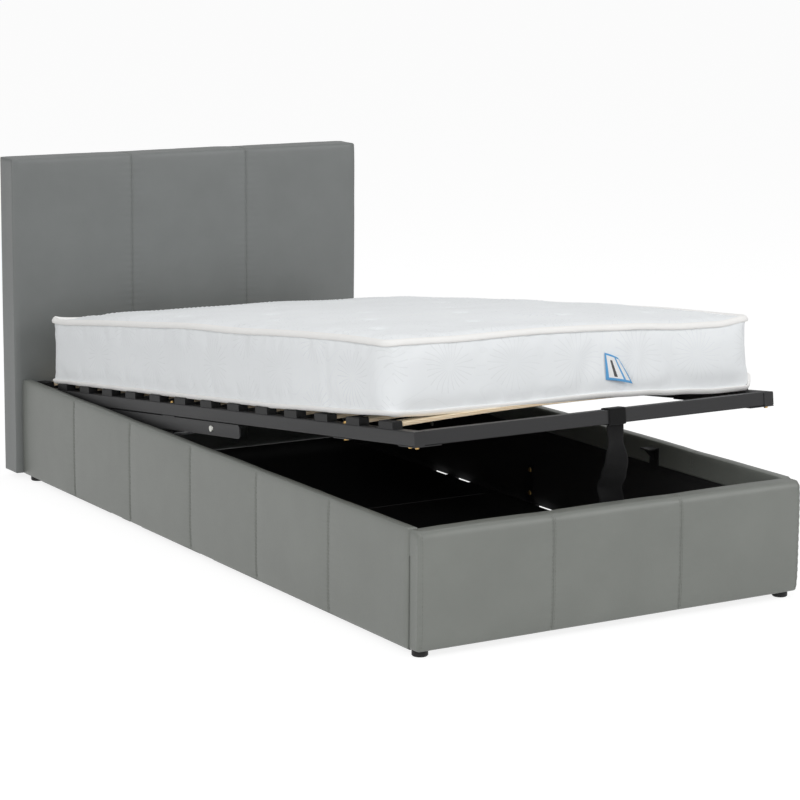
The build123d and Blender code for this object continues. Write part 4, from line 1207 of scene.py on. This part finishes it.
def make_strap():
    """The whole strap as one sheet: once round the rail from below, then down in a folded tail."""
    rail_low, rail_high = deck_box("foot_rail")
    reach = STRAP_GAP + STRAP_THICKNESS / 2
    radius = STRAP_BEND
    low = Vector((rail_low.y - reach, rail_low.z - reach))
    high = Vector((rail_high.y + reach, rail_high.z + reach))
    middle = (low.x + high.x) / 2
    turns = (
        (high.x - radius, low.y + radius, -90),
        (high.x - radius, high.y - radius, 0),
        (low.x + radius, high.y - radius, 90),
        (low.x + radius, low.y + radius, 180),
    )
    round_rail = [(middle, low.y)]
    for centre_y, centre_z, first in turns:
        for number in range(6):
            turn = math.radians(first + 18 * number)
            round_rail.append(
                (centre_y + radius * math.cos(turn), centre_z + radius * math.sin(turn))
            )
    round_rail.append((middle - STRAP_ROOT, low.y - STRAP_THICKNESS))
    path = [(deck @ Vector((STRAP_X, y, z)), 0.0, STRAP_BAND) for y, z in round_rail]
    root = path[-1][0]
    for number in range(1, STRAP_STEPS + 1):
        share = number / STRAP_STEPS
        push = smooth_between(STRAP_SHARES, STRAP_PUSH, share)
        slide = smooth_between(STRAP_SHARES, STRAP_SLIDE, share)
        turn = math.radians(smooth_between(STRAP_SHARES, STRAP_TURN, share))
        width = STRAP_BAND + (STRAP_TAIL - STRAP_BAND) * min(1, share * 1.8)
        point = root + Vector((slide, push, -STRAP_DROP * share))
        path.append((point, turn, width))
    rows = len(path) - 1
    pairs = list(zip(path, path[1:]))

    def place(across, up):
        point, turn, width = path[round(up * rows)]
        aside = (across - 0.5) * width
        crease = 0.003 * math.sin(math.pi * across * 2 + up * 9) * max(0.0, up * 2.6 - 1.6)
        return point + Vector((math.cos(turn) * aside, math.sin(turn) * aside - crease, 0))

    mesh = sheet_mesh("strap", STRAP_COLUMNS, rows, STRAP_THICKNESS, place)
    piece = new_piece("strap", mesh, webbing, "platform")
    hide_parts("pull_strap")


make_strap()


# Stage and lights
FLOOR_REACH = 40.0


def floor_material():
    """A pale floor that shows white to the eye and still keeps the bed's shadow."""
    paint = Paint("floor", Roughness=0.9)
    tree = paint.tree
    tree.nodes.remove(paint.shader)
    rays = paint.add("LightPath").outputs
    seen = paint.math(
        "MAXIMUM",
        paint.math("MAXIMUM", rays["Is Camera Ray"], rays["Is Glossy Ray"]),
        rays["Is Transmission Ray"],
    )
    matt = paint.add("BsdfDiffuse", {"Color": (0.3, 0.3, 0.3, 1.0)}).outputs[0]
    glow = paint.add("Emission", {"Color": (1, 1, 1, 1), "Strength": 0.84}).outputs[0]
    plain = paint.add("BsdfDiffuse", {"Color": (0.75, 0.75, 0.75, 1.0)}).outputs[0]
    white = paint.add("AddShader", {0: matt, 1: glow}).outputs[0]
    both = paint.add("MixShader", {0: seen, 1: plain, 2: white}).outputs[0]
    tree.links.new(both, tree.nodes["Material Output"].inputs["Surface"])
    return paint.material


def make_floor():
    """A wide floor at the level that the glides rest on."""
    reach = FLOOR_REACH
    corners = [(-reach, -reach, 0), (reach, -reach, 0), (reach, reach, 0), (-reach, reach, 0)]
    mesh = made_mesh("floor", corners, [(0, 1, 2, 3)])
    mesh.materials.append(floor_material())
    floor = bpy.data.objects.new("floor", mesh)
    bpy.context.scene.collection.objects.link(floor)


def make_world():
    """White for the eye and reflections, and a soft even light for everything else."""
    world = bpy.data.worlds.new("studio")
    bpy.context.scene.world = world
    world.use_nodes = True
    tree = world.node_tree
    ground = tree.nodes["Background"]
    ground.inputs["Color"].default_value = WHITE
    ground.inputs["Strength"].default_value = 0.42
    seen = add_node(tree, "Background", {"Color": WHITE, "Strength": 1.0})
    rays = add_node(tree, "LightPath")
    shaders = {0: rays.outputs["Is Camera Ray"], 1: ground.outputs[0], 2: seen.outputs[0]}
    mix = add_node(tree, "MixShader", shaders)
    tree.links.new(mix.outputs[0], tree.nodes["World Output"].inputs["Surface"])


def area_light(name, place, aim, size, power):
    """A soft square lamp at a place, turned to a point."""
    lamp = bpy.data.lights.new(name, "AREA")
    lamp.size = size
    lamp.energy = power
    holder = bpy.data.objects.new(name, lamp)
    holder.location = place
    holder.rotation_mode = "QUATERNION"
    holder.rotation_quaternion = (Vector(aim) - Vector(place)).to_track_quat("-Z", "Y")
    bpy.context.scene.collection.objects.link(holder)


make_floor()
make_world()
area_light("key", (-4.5, -4.0, 3.6), (0, 0, 0.4), 2.6, 132)
area_light("fill", (3.5, -5.0, 2.6), (0, 0, 0.4), 2.6, 74)
area_light("top", (0.5, 0.5, 4.5), (0, 0, 0), 3.0, 42)


SIDES = ("left", "right")
FINISHES = (
    (raw_board, ["left_side_board", "right_side_board", "foot_board", "headboard_board"]),
    (floor_board, ["floor_panels", "floor_supports"]),
    (black_plastic, ["glides", "slat_holders"]),
    (black_plastic, [f"{side}_strut_{end}" for side in SIDES for end in ("base_end", "rod_end")]),
    (black_coat, ["corner_brackets", "centre_straps", "platform_rests", "frame_gussets"]),
    (black_coat, [f"{side}_{part}" for side in SIDES for part in ("hinge_plate", "strut_cylinder")]),
    (rail_coat, ["foot_rail", "head_rail", "middle_rail", "rail_sleeves", "rail_end_plugs"]),
    (rail_coat, [f"{side}_{part}" for side in SIDES for part in ("side_rail", "lift_arm")]),
    (zinc, ["corner_bolts", "hinge_plate_bolts", "pivot_pins"]),
    (zinc, ["strut_lower_studs", "strut_upper_studs"]),
    (yellow_zinc, ["centre_screws", "frame_bolts"]),
    (chrome, ["left_strut_rod", "right_strut_rod"]),
)
SLAT_THICKNESS = 0.008


def dress(node, material):
    """Give a CAD node one material."""
    mesh = nodes[node].data
    mesh.materials.clear()
    mesh.materials.append(material)
    mesh.polygons.foreach_set("material_index", [0] * len(mesh.polygons))


for material, members in FINISHES:
    for member in members:
        dress(member, material)

slat_low, slat_high = deck_box("slat_07")
slat_bow = slat_high.z - slat_low.z - SLAT_THICKNESS
birch = birch_paint("birch", -slat_bow, slat_high.x, slat_low.z + slat_bow + SLAT_THICKNESS / 2)
for node in nodes:
    if node.startswith(("slat_0", "slat_1")):
        dress(node, birch)
